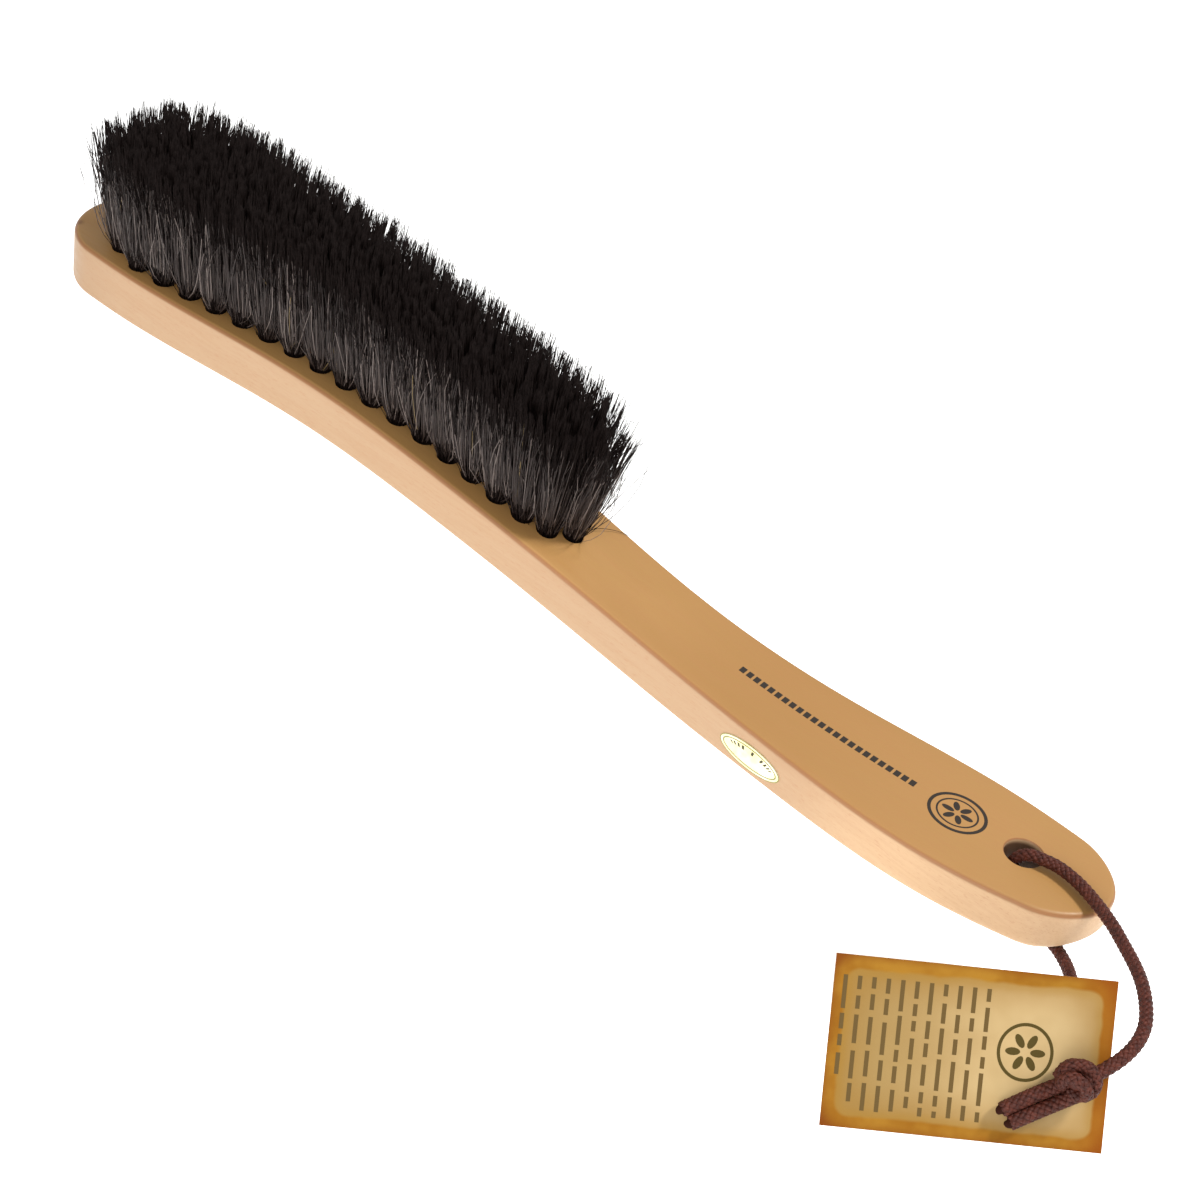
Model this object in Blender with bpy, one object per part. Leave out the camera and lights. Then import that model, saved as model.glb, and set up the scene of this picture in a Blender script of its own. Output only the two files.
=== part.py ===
"""Long-handled clothes brush: a curved beech stock, a bristle field set in drilled holes, an oval
foil label on the side of the handle, and a cord through the hang hole that carries a card tag.

Frame: metres, +Z up. The brush rests on its back with the bristles up. X runs along the length,
from the head at -X to the handle end at +X; Y is across, and the near side is -Y. The origin is
the centre of the flat on the back of the belly, where it rests.
All named lengths are millimetres; station x is measured from the tip of the head.
"""

import math

import bmesh
import bpy
import numpy as np
from mathutils import Matrix, Vector

MM = 0.001
Y_AXIS = np.array([0.0, 1.0, 0.0])

# ---------------------------------------------------------------- stock dimensions
LENGTH = 300.6  # tip of the head to the handle end, along the stock
ORIGIN_X = 210.0  # station of the resting flat's centre
# (station, height of the bristle face above the resting plane):
# arched at the head, lowest at the neck, up at the end
FACE_HEIGHTS = [
    (0, 13.55), (50, 17.15), (100, 19.05), (150, 15.95), (200, 11.35), (250, 12.85), (300, 19.05),
]
# (station, half width in plan), before the ends are rounded
HALF_WIDTHS = [
    (0, 16.9), (30, 18.7), (80, 15.5), (130, 13.9),
    (180, 12.3), (230, 14.3), (270, 16.2), (LENGTH, 11.5),
]
HEAD_ROUND = 16.0  # length of the rounded head end in plan
TAIL_ROUND = 13.0  # length of the rounded handle end in plan
ROUND_STEPS = 6  # outline steps along each rounded end
MIDDLE_STATIONS = 36  # stations between the rounded ends, both limits included
THICK_HEAD = 13.8  # stock thickness at the head tip
THICK_TAIL = 10.7  # stock thickness at the handle end, before the upsweep
UPSWEEP = 3.0  # the back sweeps up this much at the very end of the handle
UPSWEEP_LENGTH = 11.0
FACE_EDGE = 1.3  # edge rounding at the bristle face
BACK_EDGE = 2.0  # edge rounding at the back
EDGE_ANGLES = (0, 45, 90)  # degrees around an edge rounding
REST_FLAT = 0.34  # points lower than this drop to the resting plane: belly and head tip

HANG_X = 280.5  # station of the hang hole
HANG_R = 4.2
HANG_SIDES = 24
HANG_CUT_BELOW = 16  # reach of the cutter below the bristle face
HANG_CUT_ABOVE = 6

# ---------------------------------------------------------------- bristle dimensions
# stations of the rows of holes
ROW_X = [
    14.6, 20.5, 29.2, 37.6, 45.6, 53.6, 61.6, 69.6, 77.4, 85.3,
    93.3, 101.3, 109.2, 117.1, 124.8, 132.4, 140.2, 147.6, 154.0, 158.4,
]
# (station, y of the outermost hole)
FIELD_HALF_WIDTHS = [
    (14.6, 6.0), (20.5, 10.9), (29.2, 13.5), (37.6, 13.3), (45.6, 12.4),
    (53.6, 11.4), (61.6, 10.4), (69.6, 9.5), (85.3, 8.3), (101.3, 7.5),
    (117.1, 6.8), (132.4, 6.6), (140.2, 6.6), (147.6, 6.0), (154.0, 4.4),
]
# (station, lean of the tufts along the length in degrees, + toward the handle)
LEANS = [
    (11, -9.0), (20, -7.0), (30, -3.0), (60, -3.5), (100, -5.5),
    (135, -6.5), (148, -4.5), (154, 0.0), (160, 7.0),
]
SPLAY_DEG = 7.0  # outward lean of the outermost tufts across the width
HOLE_PITCH = 5.9  # least spacing of holes across a row
HOLE_R = 2.6
HOLE_DEPTH = 8.0
HOLE_CUT_ABOVE = 2.5  # reach of the drill above the bristle face
TUFT_SIDES = 8  # sides of a hole and of its bundle of hair
TUFT_R = 2.3  # bundle of hair in its hole
TUFT_DEPTH = 7.6
TUFT_MERGE = 3.6  # height at which the bundles of a row flare into one another
TUFT_HEIGHT = 29.5  # trim height above the face
ROW_GAP = 0.4  # gap between neighbouring rows
FIELD_EDGE = 2.6  # hair outside the outermost hole of a row
FIELD_HEAD_EDGE = 3.4  # hair ahead of the first row, toward the head
FIELD_TAIL_EDGE = 2.7  # hair behind the last row, toward the handle

# ---------------------------------------------------------------- label dimensions
LABEL_X = 222.5
LABEL_DEPTH = 6.3  # label centre below the bristle face
LABEL_HALF_LENGTH = 8.1
LABEL_HALF_HEIGHT = 3.1
LABEL_GAP = 0.06  # clearance between the stock's side and the label
LABEL_THICK = 0.12
LABEL_STEPS = 12

# ---------------------------------------------------------------- tag dimensions
TAG_LONG_HINT = (0.7625, 0.5967, 0.2500)  # roughly along the tag's long side before the twist
TAG_FACING = (0.33362, -0.69408, 0.63792)  # direction the tag's upper face looks
TAG_TWIST = -5.8  # degrees, turns the tag in its own plane
TAG_HOLE = (104.1, -45.5, 19.5)  # centre of the tag's hole, on the frame's axes
TAG_LONG_SIDE = 51.8
TAG_SHORT_SIDE = 31.6
TAG_THICK = 0.45
TAG_HOLE_LONG = 19.4  # hole centre from the tag's centre, along the long side
TAG_HOLE_SHORT = -1.9  # and along the short side
TAG_HOLE_R = 2.3
TAG_HOLE_SIDES = 16
TAG_CUT_REACH = 2  # reach of the cutter on each side of the tag

# ---------------------------------------------------------------- cord dimensions
CORD_R = 1.3
CORD_SIDES = 8
CORD_STEP = 3.4  # spacing of the cord's rings, about
KNOT = (105.5, -48.5, 22.2)
KNOT_RADII = (4.1, 3.9, 3.6)  # along the tag's long side, short side and normal
KNOT_SIDES = 10  # facets around the knot
KNOT_BANDS = 7  # facets from pole to pole
LOOP_START = (1.9, 0.5)  # start of the loop from the knot, along the tag's long and short sides
LOOP_UNDER_TAG = 4.6  # the loop passes this far under the tag's hole
LOOP_IN_HOLE = 0.5  # and then this far under its centre
LOOP_END = 2.1  # the loop ends this far below the knot's centre, along the tag's normal
# (x, y, z) on the frame's axes, from the knot over the stock, down through the hang hole
# and back underneath to the tag
LOOP_POINTS = [
    (107.8, -45.2, 24.1), (109.0, -42.4, 25.6), (109.7, -39.2, 26.6), (109.8, -35.6, 27.1),
    (109.1, -31.6, 27.2), (107.3, -27.4, 27.1), (104.8, -22.9, 26.5), (101.6, -18.4, 25.4),
    (97.2, -13.4, 23.9), (93.2, -9.2, 22.6), (88.6, -5.2, 21.1), (83.4, -2.3, 20.2),
    (78.4, -0.6, 19.5), (74.6, -0.3, 18.95), (71.5, -0.2, 18.1), (69.4, 0.0, 16.2),
    (68.8, 0.0, 12.8), (69.6, 0.0, 8.8), (71.6, -0.3, 5.7), (74.6, -0.8, 4.4),
    (78.0, -1.8, 4.0), (83.0, -3.5, 4.2), (87.1, -5.8, 5.2), (91.8, -11.4, 7.2),
    (96.0, -19.8, 9.3), (99.4, -29.0, 10.9), (101.3, -37.0, 13.2),
]
TAIL_HEADING = (-0.863, -0.504)  # run of the tails, along the tag's long and short sides
TAIL_START = 1.2  # start of the tails from the knot's centre, along their run
TAIL_SHIFT = 1.2  # middle of the pair from the knot's centre, across their run
TAIL_OFFSET = 1.42  # each tail from the middle of the pair
TAIL_DROP = 0.9  # start of the tails below the knot's centre, along the tag's normal
TAIL_LENGTHS = (14.6, 14.2)
TAIL_BENDS = [(4, 0.8), (8, 1.25)]  # (distance along a tail, drop below its start)
TAIL_END_DROP = 1.25


# ---------------------------------------------------------------- curves
def natural_spline(points):
    """Natural cubic spline through (x, y) points: returns its value and slope functions.

    Beyond the last point the end cubic carries on.
    """
    xs, ys = np.array(points, float).T
    count = len(xs)
    gaps = np.diff(xs)
    system = np.zeros((count, count))
    target = np.zeros(count)
    system[0, 0] = system[-1, -1] = 1.0
    for i in range(1, count - 1):
        system[i, i - 1] = gaps[i - 1]
        system[i, i] = 2 * (gaps[i - 1] + gaps[i])
        system[i, i + 1] = gaps[i]
        target[i] = 6 * ((ys[i + 1] - ys[i]) / gaps[i] - (ys[i] - ys[i - 1]) / gaps[i - 1])
    bend = np.linalg.solve(system, target)  # second derivative at each point

    def span(x):
        """Index and width of the span that holds x, and its two linear weights."""
        i = int(np.clip(np.searchsorted(xs, x) - 1, 0, count - 2))
        gap = gaps[i]
        low = ys[i] / gap - bend[i] * gap / 6
        high = ys[i + 1] / gap - bend[i + 1] * gap / 6
        return i, gap, low, high

    def value(x):
        i, gap, low, high = span(x)
        left, right = x - xs[i], xs[i + 1] - x
        cubic = (bend[i] * right**3 + bend[i + 1] * left**3) / (6 * gap)
        return cubic + low * right + high * left

    def slope(x):
        i, gap, low, high = span(x)
        left, right = x - xs[i], xs[i + 1] - x
        return (-bend[i] * right**2 + bend[i + 1] * left**2) / (2 * gap) - low + high

    return value, slope


def smooth_path(points, step):
    """Catmull-Rom curve through the points, sampled about every step millimetres."""
    pts = [np.asarray(p, float) for p in points]
    pts = [2 * pts[0] - pts[1]] + pts + [2 * pts[-1] - pts[-2]]
    path = []
    for before, start, end, after in zip(pts, pts[1:], pts[2:], pts[3:]):
        count = max(1, round(float(np.linalg.norm(end - start)) / step))
        linear = end - before
        square = 2 * before - 5 * start + 4 * end - after
        cube = 3 * start - before - 3 * end + after
        for k in range(count):
            t = k / count
            path.append(0.5 * (2 * start + linear * t + square * t**2 + cube * t**3))
    path.append(pts[-2])
    return path


# ---------------------------------------------------------------- shape of the stock
face_z, face_slope = natural_spline(FACE_HEIGHTS)
half_width, half_width_slope = natural_spline(HALF_WIDTHS)


def clamp01(value):
    return min(max(value, 0.0), 1.0)


def end_round(x):
    """Factor on the half width that rounds both ends in plan."""
    head = clamp01(x / HEAD_ROUND)
    tail = clamp01((LENGTH - x) / TAIL_ROUND)
    return math.sqrt(1 - (1 - head) ** 2) * math.sqrt(1 - (1 - tail) ** 2)


def outline_y(x):
    return half_width(x) * end_round(x)


def thickness(x):
    sweep = clamp01((x - LENGTH + UPSWEEP_LENGTH) / UPSWEEP_LENGTH)
    return THICK_HEAD + (THICK_TAIL - THICK_HEAD) * x / LENGTH - UPSWEEP * sweep * sweep


def normal(x):
    """Unit normal of the bristle face, upward."""
    slope = face_slope(x)
    return np.array([-slope, 0.0, 1.0]) / math.hypot(1.0, slope)


def tangent(x):
    """Unit tangent of the bristle face, toward the handle."""
    slope = face_slope(x)
    return np.array([1.0, 0.0, slope]) / math.hypot(1.0, slope)


def face_point(x, y, depth=0.0):
    """A point of the stock at station x, offset y, and a depth below the bristle face."""
    return np.array([x - ORIGIN_X, y, face_z(x)]) - normal(x) * depth


# ---------------------------------------------------------------- mesh helpers
def circle(center, radius, sides, axis_1, axis_2):
    angles = [2 * math.pi * k / sides for k in range(sides)]
    return [center + radius * (math.cos(a) * axis_1 + math.sin(a) * axis_2) for a in angles]


def band_faces(rings, sides):
    """Quads that join successive closed rings of vertices."""
    faces = []
    for ring in range(rings - 1):
        low, high = ring * sides, (ring + 1) * sides
        for k in range(sides):
            m = (k + 1) % sides
            faces.append((low + k, low + m, high + m, high + k))
    return faces


def capped_faces(rings, sides):
    """Bands between the rings, closed by a polygon at each end."""
    first = tuple(range(sides - 1, -1, -1))
    last = tuple(range((rings - 1) * sides, rings * sides))
    return band_faces(rings, sides) + [first, last]


def prism(center_low, center_high, radius, sides, axis_1, axis_2):
    """A closed prism between two centres, with its rings in the plane of the two axes."""
    verts = circle(center_low, radius, sides, axis_1, axis_2)
    verts += circle(center_high, radius, sides, axis_1, axis_2)
    return verts, capped_faces(2, sides)


def tube(path, radius, sides):
    """A closed tube along a polyline, its rings carried along without twisting."""
    last = len(path) - 1
    verts = []
    ref = None
    for i, point in enumerate(path):
        heading = path[min(i + 1, last)] - path[max(i - 1, 0)]
        heading /= np.linalg.norm(heading)
        if ref is None:
            ref = np.cross(heading, [0.0, 0.0, 1.0])
        ref = ref - heading * np.dot(ref, heading)
        ref /= np.linalg.norm(ref)
        verts += circle(point, radius, sides, ref, np.cross(heading, ref))
    return verts, capped_faces(len(path), sides)


def merge(parts):
    verts, faces = [], []
    for part_verts, part_faces in parts:
        shift = len(verts)
        verts.extend(part_verts)
        faces.extend(tuple(i + shift for i in face) for face in part_faces)
    return verts, faces


# ---------------------------------------------------------------- Blender helpers
def linear_color(rgb):
    """Linear RGBA from 8-bit sRGB."""
    shares = [c / 255.0 for c in rgb]
    return (*(s / 12.92 if s <= 0.04045 else ((s + 0.055) / 1.055) ** 2.4 for s in shares), 1.0)


def material(name, rgb, roughness):
    mat = bpy.data.materials.new(name)
    mat.use_nodes = True
    shader = mat.node_tree.nodes["Principled BSDF"]
    shader.inputs["Base Color"].default_value = linear_color(rgb)
    shader.inputs["Roughness"].default_value = roughness
    mat.diffuse_color = linear_color(rgb)
    return mat


def add_object(name, verts, faces, mat, smooth=False, origin=(0.0, 0.0, 0.0), rotation=None):
    """Makes an object from points in millimetres, in world axes, at the given origin."""
    place = Matrix.Translation(Vector(origin) * MM)
    if rotation is not None:
        place = place @ rotation.to_4x4()
    to_local = place.inverted()
    points = [tuple(to_local @ (Vector([float(c) for c in v]) * MM)) for v in verts]
    mesh = bpy.data.meshes.new(name)
    mesh.from_pydata(points, [], faces)
    bm = bmesh.new()
    bm.from_mesh(mesh)
    bmesh.ops.recalc_face_normals(bm, faces=bm.faces)
    bm.to_mesh(mesh)
    bm.free()
    mesh.update()
    if mat is not None:
        mesh.materials.append(mat)
    for face in mesh.polygons:
        face.use_smooth = smooth
    obj = bpy.data.objects.new(name, mesh)
    bpy.context.scene.collection.objects.link(obj)
    obj.matrix_world = place
    return obj


def boolean(obj, helper, operation):
    helper.hide_render = True
    helper.display_type = "WIRE"
    modifier = obj.modifiers.new(helper.name, "BOOLEAN")
    modifier.operation = operation
    modifier.solver = "EXACT"
    modifier.object = helper


# ---------------------------------------------------------------- stock
def stock_plan():
    """Closed plan outline: head tip, near side (-y), handle end, far side (+y)."""
    quarter = [1 - math.cos(k * math.pi / (2 * ROUND_STEPS)) for k in range(ROUND_STEPS + 1)]
    stations = [HEAD_ROUND * q for q in quarter]
    stations += list(np.linspace(HEAD_ROUND, LENGTH - TAIL_ROUND, MIDDLE_STATIONS)[1:-1])
    stations += [LENGTH - TAIL_ROUND * q for q in reversed(quarter)]
    between = stations[1:-1]
    near = [(x, -outline_y(x)) for x in between]
    far = [(x, outline_y(x)) for x in reversed(between)]
    plan = [(stations[0], 0.0)] + near + [(stations[-1], 0.0)] + far
    return np.array(plan), len(stations)


def edge_profile(radius):
    """(inset, depth) around an edge rounding, from the flat to the side."""
    angles = [math.radians(a) for a in EDGE_ANGLES]
    return [(radius * (1 - math.sin(a)), radius * (1 - math.cos(a))) for a in angles]


def cap_faces(base, stations, count):
    """Strip of faces across the ring of count vertices that starts at vertex base."""
    near = [base + i for i in range(stations)]
    far = [base] + [base + count - i for i in range(1, stations - 1)]
    faces = [(near[0], near[1], far[1])]
    for i in range(1, stations - 2):
        faces.append((near[i], near[i + 1], far[i + 1], far[i]))
    faces.append((near[-2], near[-1], far[-1]))
    return faces


def build_stock(wood):
    plan, stations = stock_plan()
    count = len(plan)
    edge = np.roll(plan, -1, axis=0) - np.roll(plan, 1, axis=0)
    edge /= np.linalg.norm(edge, axis=1)[:, None]
    outward = np.stack([edge[:, 1], -edge[:, 0]], axis=1)

    rings = [(inset, depth, False) for inset, depth in edge_profile(FACE_EDGE)]
    rings += [(inset, depth, True) for inset, depth in reversed(edge_profile(BACK_EDGE))]
    verts = []
    for inset, depth, on_back in rings:
        for x, y in plan - outward * inset:
            point = face_point(x, y, thickness(x) - depth if on_back else depth)
            if point[2] < REST_FLAT:
                point[2] = 0.0
            verts.append(point)
    faces = band_faces(len(rings), count)
    for base in (0, (len(rings) - 1) * count):
        faces += cap_faces(base, stations, count)
    return add_object("brush_body", verts, faces, wood)


def cut_hang_hole(body):
    up = normal(HANG_X)
    center = face_point(HANG_X, 0.0)
    low, high = center - up * HANG_CUT_BELOW, center + up * HANG_CUT_ABOVE
    verts, faces = prism(low, high, HANG_R, HANG_SIDES, tangent(HANG_X), Y_AXIS)
    boolean(body, add_object("cut_hang_hole", verts, faces, None), "DIFFERENCE")


# ---------------------------------------------------------------- bristle field
def table_value(table, x):
    """Straight-line interpolation in a table of (station, value)."""
    return float(np.interp(x, *zip(*table)))


def hair_point(x, y, height):
    """A point along the hair that leaves the bristle face at station x, offset y."""
    lean = math.radians(table_value(LEANS, x))
    side = math.radians(SPLAY_DEG) * y / table_value(FIELD_HALF_WIDTHS, x)
    heading = np.array([math.sin(lean), math.sin(side), math.cos(lean) * math.cos(side)])
    return face_point(x, y) + heading / np.linalg.norm(heading) * height


def row_holes(x):
    """Offsets y of the holes in the row at station x."""
    if x == ROW_X[-1]:
        return [0.0]  # the last row is one tuft in the middle
    y = table_value(FIELD_HALF_WIDTHS, x)
    count = int(2 * y / HOLE_PITCH) + 1
    return [y * (2 * k / (count - 1) - 1) for k in range(count)]


def drill_tuft_holes(body):
    holes = []
    for x in ROW_X:
        for y in row_holes(x):
            low, high = hair_point(x, y, -HOLE_DEPTH), hair_point(x, y, HOLE_CUT_ABOVE)
            holes.append(prism(low, high, HOLE_R, TUFT_SIDES, tangent(x), Y_AXIS))
    boolean(body, add_object("cut_tuft_holes", *merge(holes), None), "DIFFERENCE")


def build_tuft_row(number, x, x_head, x_tail, hair):
    """One row: a block of hair from x_head to x_tail, on a round bundle in each hole."""
    ys = row_holes(x)
    # block lines along and across: cell limits at even numbers, hole centres at odd ones
    lines_x = (x_head, x, x_tail)
    lines_y = [ys[0] - FIELD_EDGE]
    for y, next_y in zip(ys, ys[1:]):
        lines_y += [y, (y + next_y) / 2]
    lines_y += [ys[-1], ys[-1] + FIELD_EDGE]
    verts, faces, block_index = [], [], {}

    def block(height, a, b):
        """Vertex of the block where lines a and b cross, made when first asked for."""
        key = (height, a, b)
        if key not in block_index:
            block_index[key] = len(verts)
            verts.append(hair_point(lines_x[a], lines_y[b], height))
        return block_index[key]

    for j, y in enumerate(ys):
        low, mid, high = 2 * j, 2 * j + 1, 2 * j + 2
        around = [
            (2, mid), (2, high), (1, high), (0, high), (0, mid), (0, low), (1, low), (2, low),
        ]
        top = len(verts)
        bottom = top + TUFT_SIDES
        for height in (TUFT_MERGE, -TUFT_DEPTH):
            verts.extend(circle(hair_point(x, y, height), TUFT_R, TUFT_SIDES, tangent(x), Y_AXIS))
        for k in range(TUFT_SIDES):
            m = (k + 1) % TUFT_SIDES
            flare = (block(TUFT_MERGE, *around[k]), block(TUFT_MERGE, *around[m]))
            faces.append((*flare, top + m, top + k))
            faces.append((top + k, top + m, bottom + m, bottom + k))
        faces.append(tuple(range(bottom, bottom + TUFT_SIDES)))
        for a in (0, 1):
            for b in (low, mid):
                corners = ((a, b), (a + 1, b), (a + 1, b + 1), (a, b + 1))
                faces.append(tuple(block(TUFT_HEIGHT, *corner) for corner in corners))

    last = 2 * len(ys)
    rim = [(0, b) for b in range(last + 1)] + [(1, last)]
    rim += [(2, b) for b in range(last, -1, -1)] + [(1, 0)]
    for p, q in zip(rim, rim[1:] + rim[:1]):
        lower = (block(TUFT_MERGE, *p), block(TUFT_MERGE, *q))
        faces.append((*lower, block(TUFT_HEIGHT, *q), block(TUFT_HEIGHT, *p)))
    origin = tuple(face_point(x, 0.0))
    add_object(f"tuft_row_{number:02d}", verts, faces, hair, origin=origin)


def build_tuft_rows(hair):
    middles = [(x + next_x) / 2 for x, next_x in zip(ROW_X, ROW_X[1:])]
    heads = [ROW_X[0] - FIELD_HEAD_EDGE] + [x + ROW_GAP / 2 for x in middles]
    tails = [x - ROW_GAP / 2 for x in middles] + [ROW_X[-1] + FIELD_TAIL_EDGE]
    for number, (x, x_head, x_tail) in enumerate(zip(ROW_X, heads, tails), start=1):
        build_tuft_row(number, x, x_head, x_tail, hair)


# ---------------------------------------------------------------- oval label, near side
def build_label(foil):
    verts = []
    for offset in (LABEL_GAP, LABEL_GAP + LABEL_THICK):
        for k in range(LABEL_STEPS + 1):
            along = -math.cos(math.pi * k / LABEL_STEPS)
            reach = math.sqrt(1 - along * along) * LABEL_HALF_HEIGHT
            x = LABEL_X + along * LABEL_HALF_LENGTH
            slope = half_width_slope(x)
            outward = np.array([-slope, -1.0, 0.0]) / math.hypot(1.0, slope)
            for e in (-reach, reach) if 0 < k < LABEL_STEPS else (0.0,):
                verts.append(face_point(x, -outline_y(x), LABEL_DEPTH + e) + outward * offset)
    layer = len(verts) // 2

    def index(side, k, e):
        """Vertex at step k: side 0 by the stock, 1 outside; e 0 upper edge, 1 lower edge."""
        if k == 0:
            return side * layer
        if k == LABEL_STEPS:
            return side * layer + layer - 1
        return side * layer + 1 + 2 * (k - 1) + e

    faces = []
    for side in (0, 1):
        for k in range(LABEL_STEPS):
            upper = [index(side, k, 0), index(side, k + 1, 0)]
            lower = [index(side, k + 1, 1), index(side, k, 1)]
            faces.append(tuple(dict.fromkeys(upper + lower)))  # a triangle at each end
    for e in (0, 1):
        for k in range(LABEL_STEPS):
            inside = (index(0, k, e), index(0, k + 1, e))
            faces.append((*inside, index(1, k + 1, e), index(1, k, e)))
    origin = tuple(face_point(LABEL_X, -outline_y(LABEL_X), LABEL_DEPTH))
    add_object("oval_label", verts, faces, foil, origin=origin)


# ---------------------------------------------------------------- the tag's axes
def tag_frame():
    """Rotation whose columns run along the tag's long side, short side and normal."""
    up = Vector(TAG_FACING).normalized()
    long_side = Vector(TAG_LONG_HINT)
    long_side = (long_side - up * long_side.dot(up)).normalized()
    long_side = Matrix.Rotation(math.radians(TAG_TWIST), 3, up) @ long_side
    return Matrix((long_side, up.cross(long_side), up)).transposed()


TAG_FRAME = tag_frame()
TAG_LONG, TAG_SHORT, TAG_UP = (np.array(axis) for axis in TAG_FRAME.transposed())
knot_center = np.array(KNOT)
tag_hole_center = np.array(TAG_HOLE)


# ---------------------------------------------------------------- cord
def build_loop(cord_mat):
    start = knot_center + LOOP_START[0] * TAG_LONG + LOOP_START[1] * TAG_SHORT
    through_tag = [tag_hole_center - d * TAG_UP for d in (LOOP_UNDER_TAG, LOOP_IN_HOLE)]
    path = [start] + LOOP_POINTS + through_tag + [knot_center - LOOP_END * TAG_UP]
    verts, faces = tube(smooth_path(path, CORD_STEP), CORD_R, CORD_SIDES)
    origin = tuple(face_point(HANG_X, 0.0))
    return add_object("hang_cord", verts, faces, cord_mat, smooth=True, origin=origin)


def join_knot(cord, cord_mat):
    """The knot's body: a faceted ellipsoid on the tag's axes."""
    long_r, short_r, up_r = (a * r for a, r in zip((TAG_LONG, TAG_SHORT, TAG_UP), KNOT_RADII))
    verts = []
    for j in range(1, KNOT_BANDS):
        polar = math.pi * j / KNOT_BANDS
        center = knot_center + up_r * math.cos(polar)
        verts += circle(center, math.sin(polar), KNOT_SIDES, long_r, short_r)
    faces = band_faces(KNOT_BANDS - 1, KNOT_SIDES)
    last_ring = len(verts) - KNOT_SIDES
    top = len(verts)
    verts += [knot_center + up_r, knot_center - up_r]
    for k in range(KNOT_SIDES):
        m = (k + 1) % KNOT_SIDES
        faces.append((top, k, m))
        faces.append((top + 1, last_ring + m, last_ring + k))
    boolean(cord, add_object("join_knot", verts, faces, cord_mat), "UNION")


def join_tails(cord, cord_mat):
    """Two cord ends side by side, running from the knot over the tag."""
    run_long, run_short = TAIL_HEADING
    along = (run_long * TAG_LONG + run_short * TAG_SHORT) / math.hypot(run_long, run_short)
    across = np.cross(TAG_UP, along)
    tails = []
    for side, length in zip((-TAIL_OFFSET, TAIL_OFFSET), TAIL_LENGTHS):
        start = knot_center + along * TAIL_START + across * (TAIL_SHIFT + side)
        start = start - TAG_UP * TAIL_DROP
        bends = [(0, 0)] + TAIL_BENDS + [(length, TAIL_END_DROP)]
        path = [start + along * distance - TAG_UP * drop for distance, drop in bends]
        tails.append(tube(path, CORD_R, CORD_SIDES))
    boolean(cord, add_object("join_tails", *merge(tails), cord_mat), "UNION")


# ---------------------------------------------------------------- card tag
def build_tag(card):
    center = tag_hole_center - TAG_LONG * TAG_HOLE_LONG - TAG_SHORT * TAG_HOLE_SHORT
    half_long = TAG_LONG * TAG_LONG_SIDE / 2
    half_short = TAG_SHORT * TAG_SHORT_SIDE / 2
    half_thick = TAG_UP * TAG_THICK / 2
    verts = [
        center + half_long * a + half_short * b + half_thick * c
        for c in (-1, 1)
        for a, b in ((-1, -1), (1, -1), (1, 1), (-1, 1))
    ]
    faces = [(0, 1, 2, 3), (4, 5, 6, 7), (0, 1, 5, 4), (1, 2, 6, 5), (2, 3, 7, 6), (3, 0, 4, 7)]
    tag = add_object("hang_tag", verts, faces, card, origin=TAG_HOLE, rotation=TAG_FRAME)

    reach = TAG_UP * TAG_CUT_REACH
    low, high = tag_hole_center - reach, tag_hole_center + reach
    verts, faces = prism(low, high, TAG_HOLE_R, TAG_HOLE_SIDES, TAG_LONG, TAG_SHORT)
    boolean(tag, add_object("cut_tag_hole", verts, faces, None), "DIFFERENCE")


# ---------------------------------------------------------------- build
for old in list(bpy.data.objects):
    bpy.data.objects.remove(old, do_unlink=True)

WOOD = material("wood", rgb=(224, 183, 138), roughness=0.42)
HAIR = material("hair", rgb=(30, 23, 21), roughness=0.55)
FOIL = material("foil", rgb=(236, 226, 176), roughness=0.35)
CORD = material("cord", rgb=(78, 44, 38), roughness=0.8)
CARD = material("card", rgb=(200, 168, 104), roughness=0.6)

stock = build_stock(WOOD)
drill_tuft_holes(stock)
build_tuft_rows(HAIR)
cut_hang_hole(stock)
build_label(FOIL)
loop = build_loop(CORD)
join_knot(loop, CORD)
join_tails(loop, CORD)
build_tag(CARD)
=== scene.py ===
"""A long-handled beech brush with a braided hang cord and a card tag.

The brush lies along X with its bristle face up (+Z): the head is at -X and the handle runs
to +X. The oval label is on the -Y side, and the cord carries the tag out towards -Y.
Dimensions are millimetres and meshes are written in metres. A "station" is a distance
along the stock from its head end, and station ORIGIN_X is world X = 0.
"""

import math

import bmesh
import bpy
import numpy as np
from mathutils import Matrix, Vector


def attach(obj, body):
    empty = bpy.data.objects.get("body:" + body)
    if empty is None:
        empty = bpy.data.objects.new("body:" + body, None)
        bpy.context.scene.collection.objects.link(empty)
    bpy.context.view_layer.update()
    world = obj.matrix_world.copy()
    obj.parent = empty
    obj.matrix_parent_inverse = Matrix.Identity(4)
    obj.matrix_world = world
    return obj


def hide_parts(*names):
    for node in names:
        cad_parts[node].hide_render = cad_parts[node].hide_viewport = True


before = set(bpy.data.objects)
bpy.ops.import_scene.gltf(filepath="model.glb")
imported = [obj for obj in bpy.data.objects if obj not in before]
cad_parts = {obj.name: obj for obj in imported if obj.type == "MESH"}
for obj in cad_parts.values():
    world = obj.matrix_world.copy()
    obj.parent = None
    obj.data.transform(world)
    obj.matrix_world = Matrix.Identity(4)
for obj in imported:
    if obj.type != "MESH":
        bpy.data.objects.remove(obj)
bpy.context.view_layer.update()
MM = 0.001
rng = np.random.default_rng(20)

# ---------------------------------------------------------------- dimensions, millimetres
# stock
LENGTH = 300.6
ORIGIN_X = 210.0
# (station, height of the face)
FACE_HEIGHT = [
    (0, 13.55), (50, 17.15), (100, 19.05), (150, 15.95), (200, 11.35), (250, 12.85), (300, 19.05),
]
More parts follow.
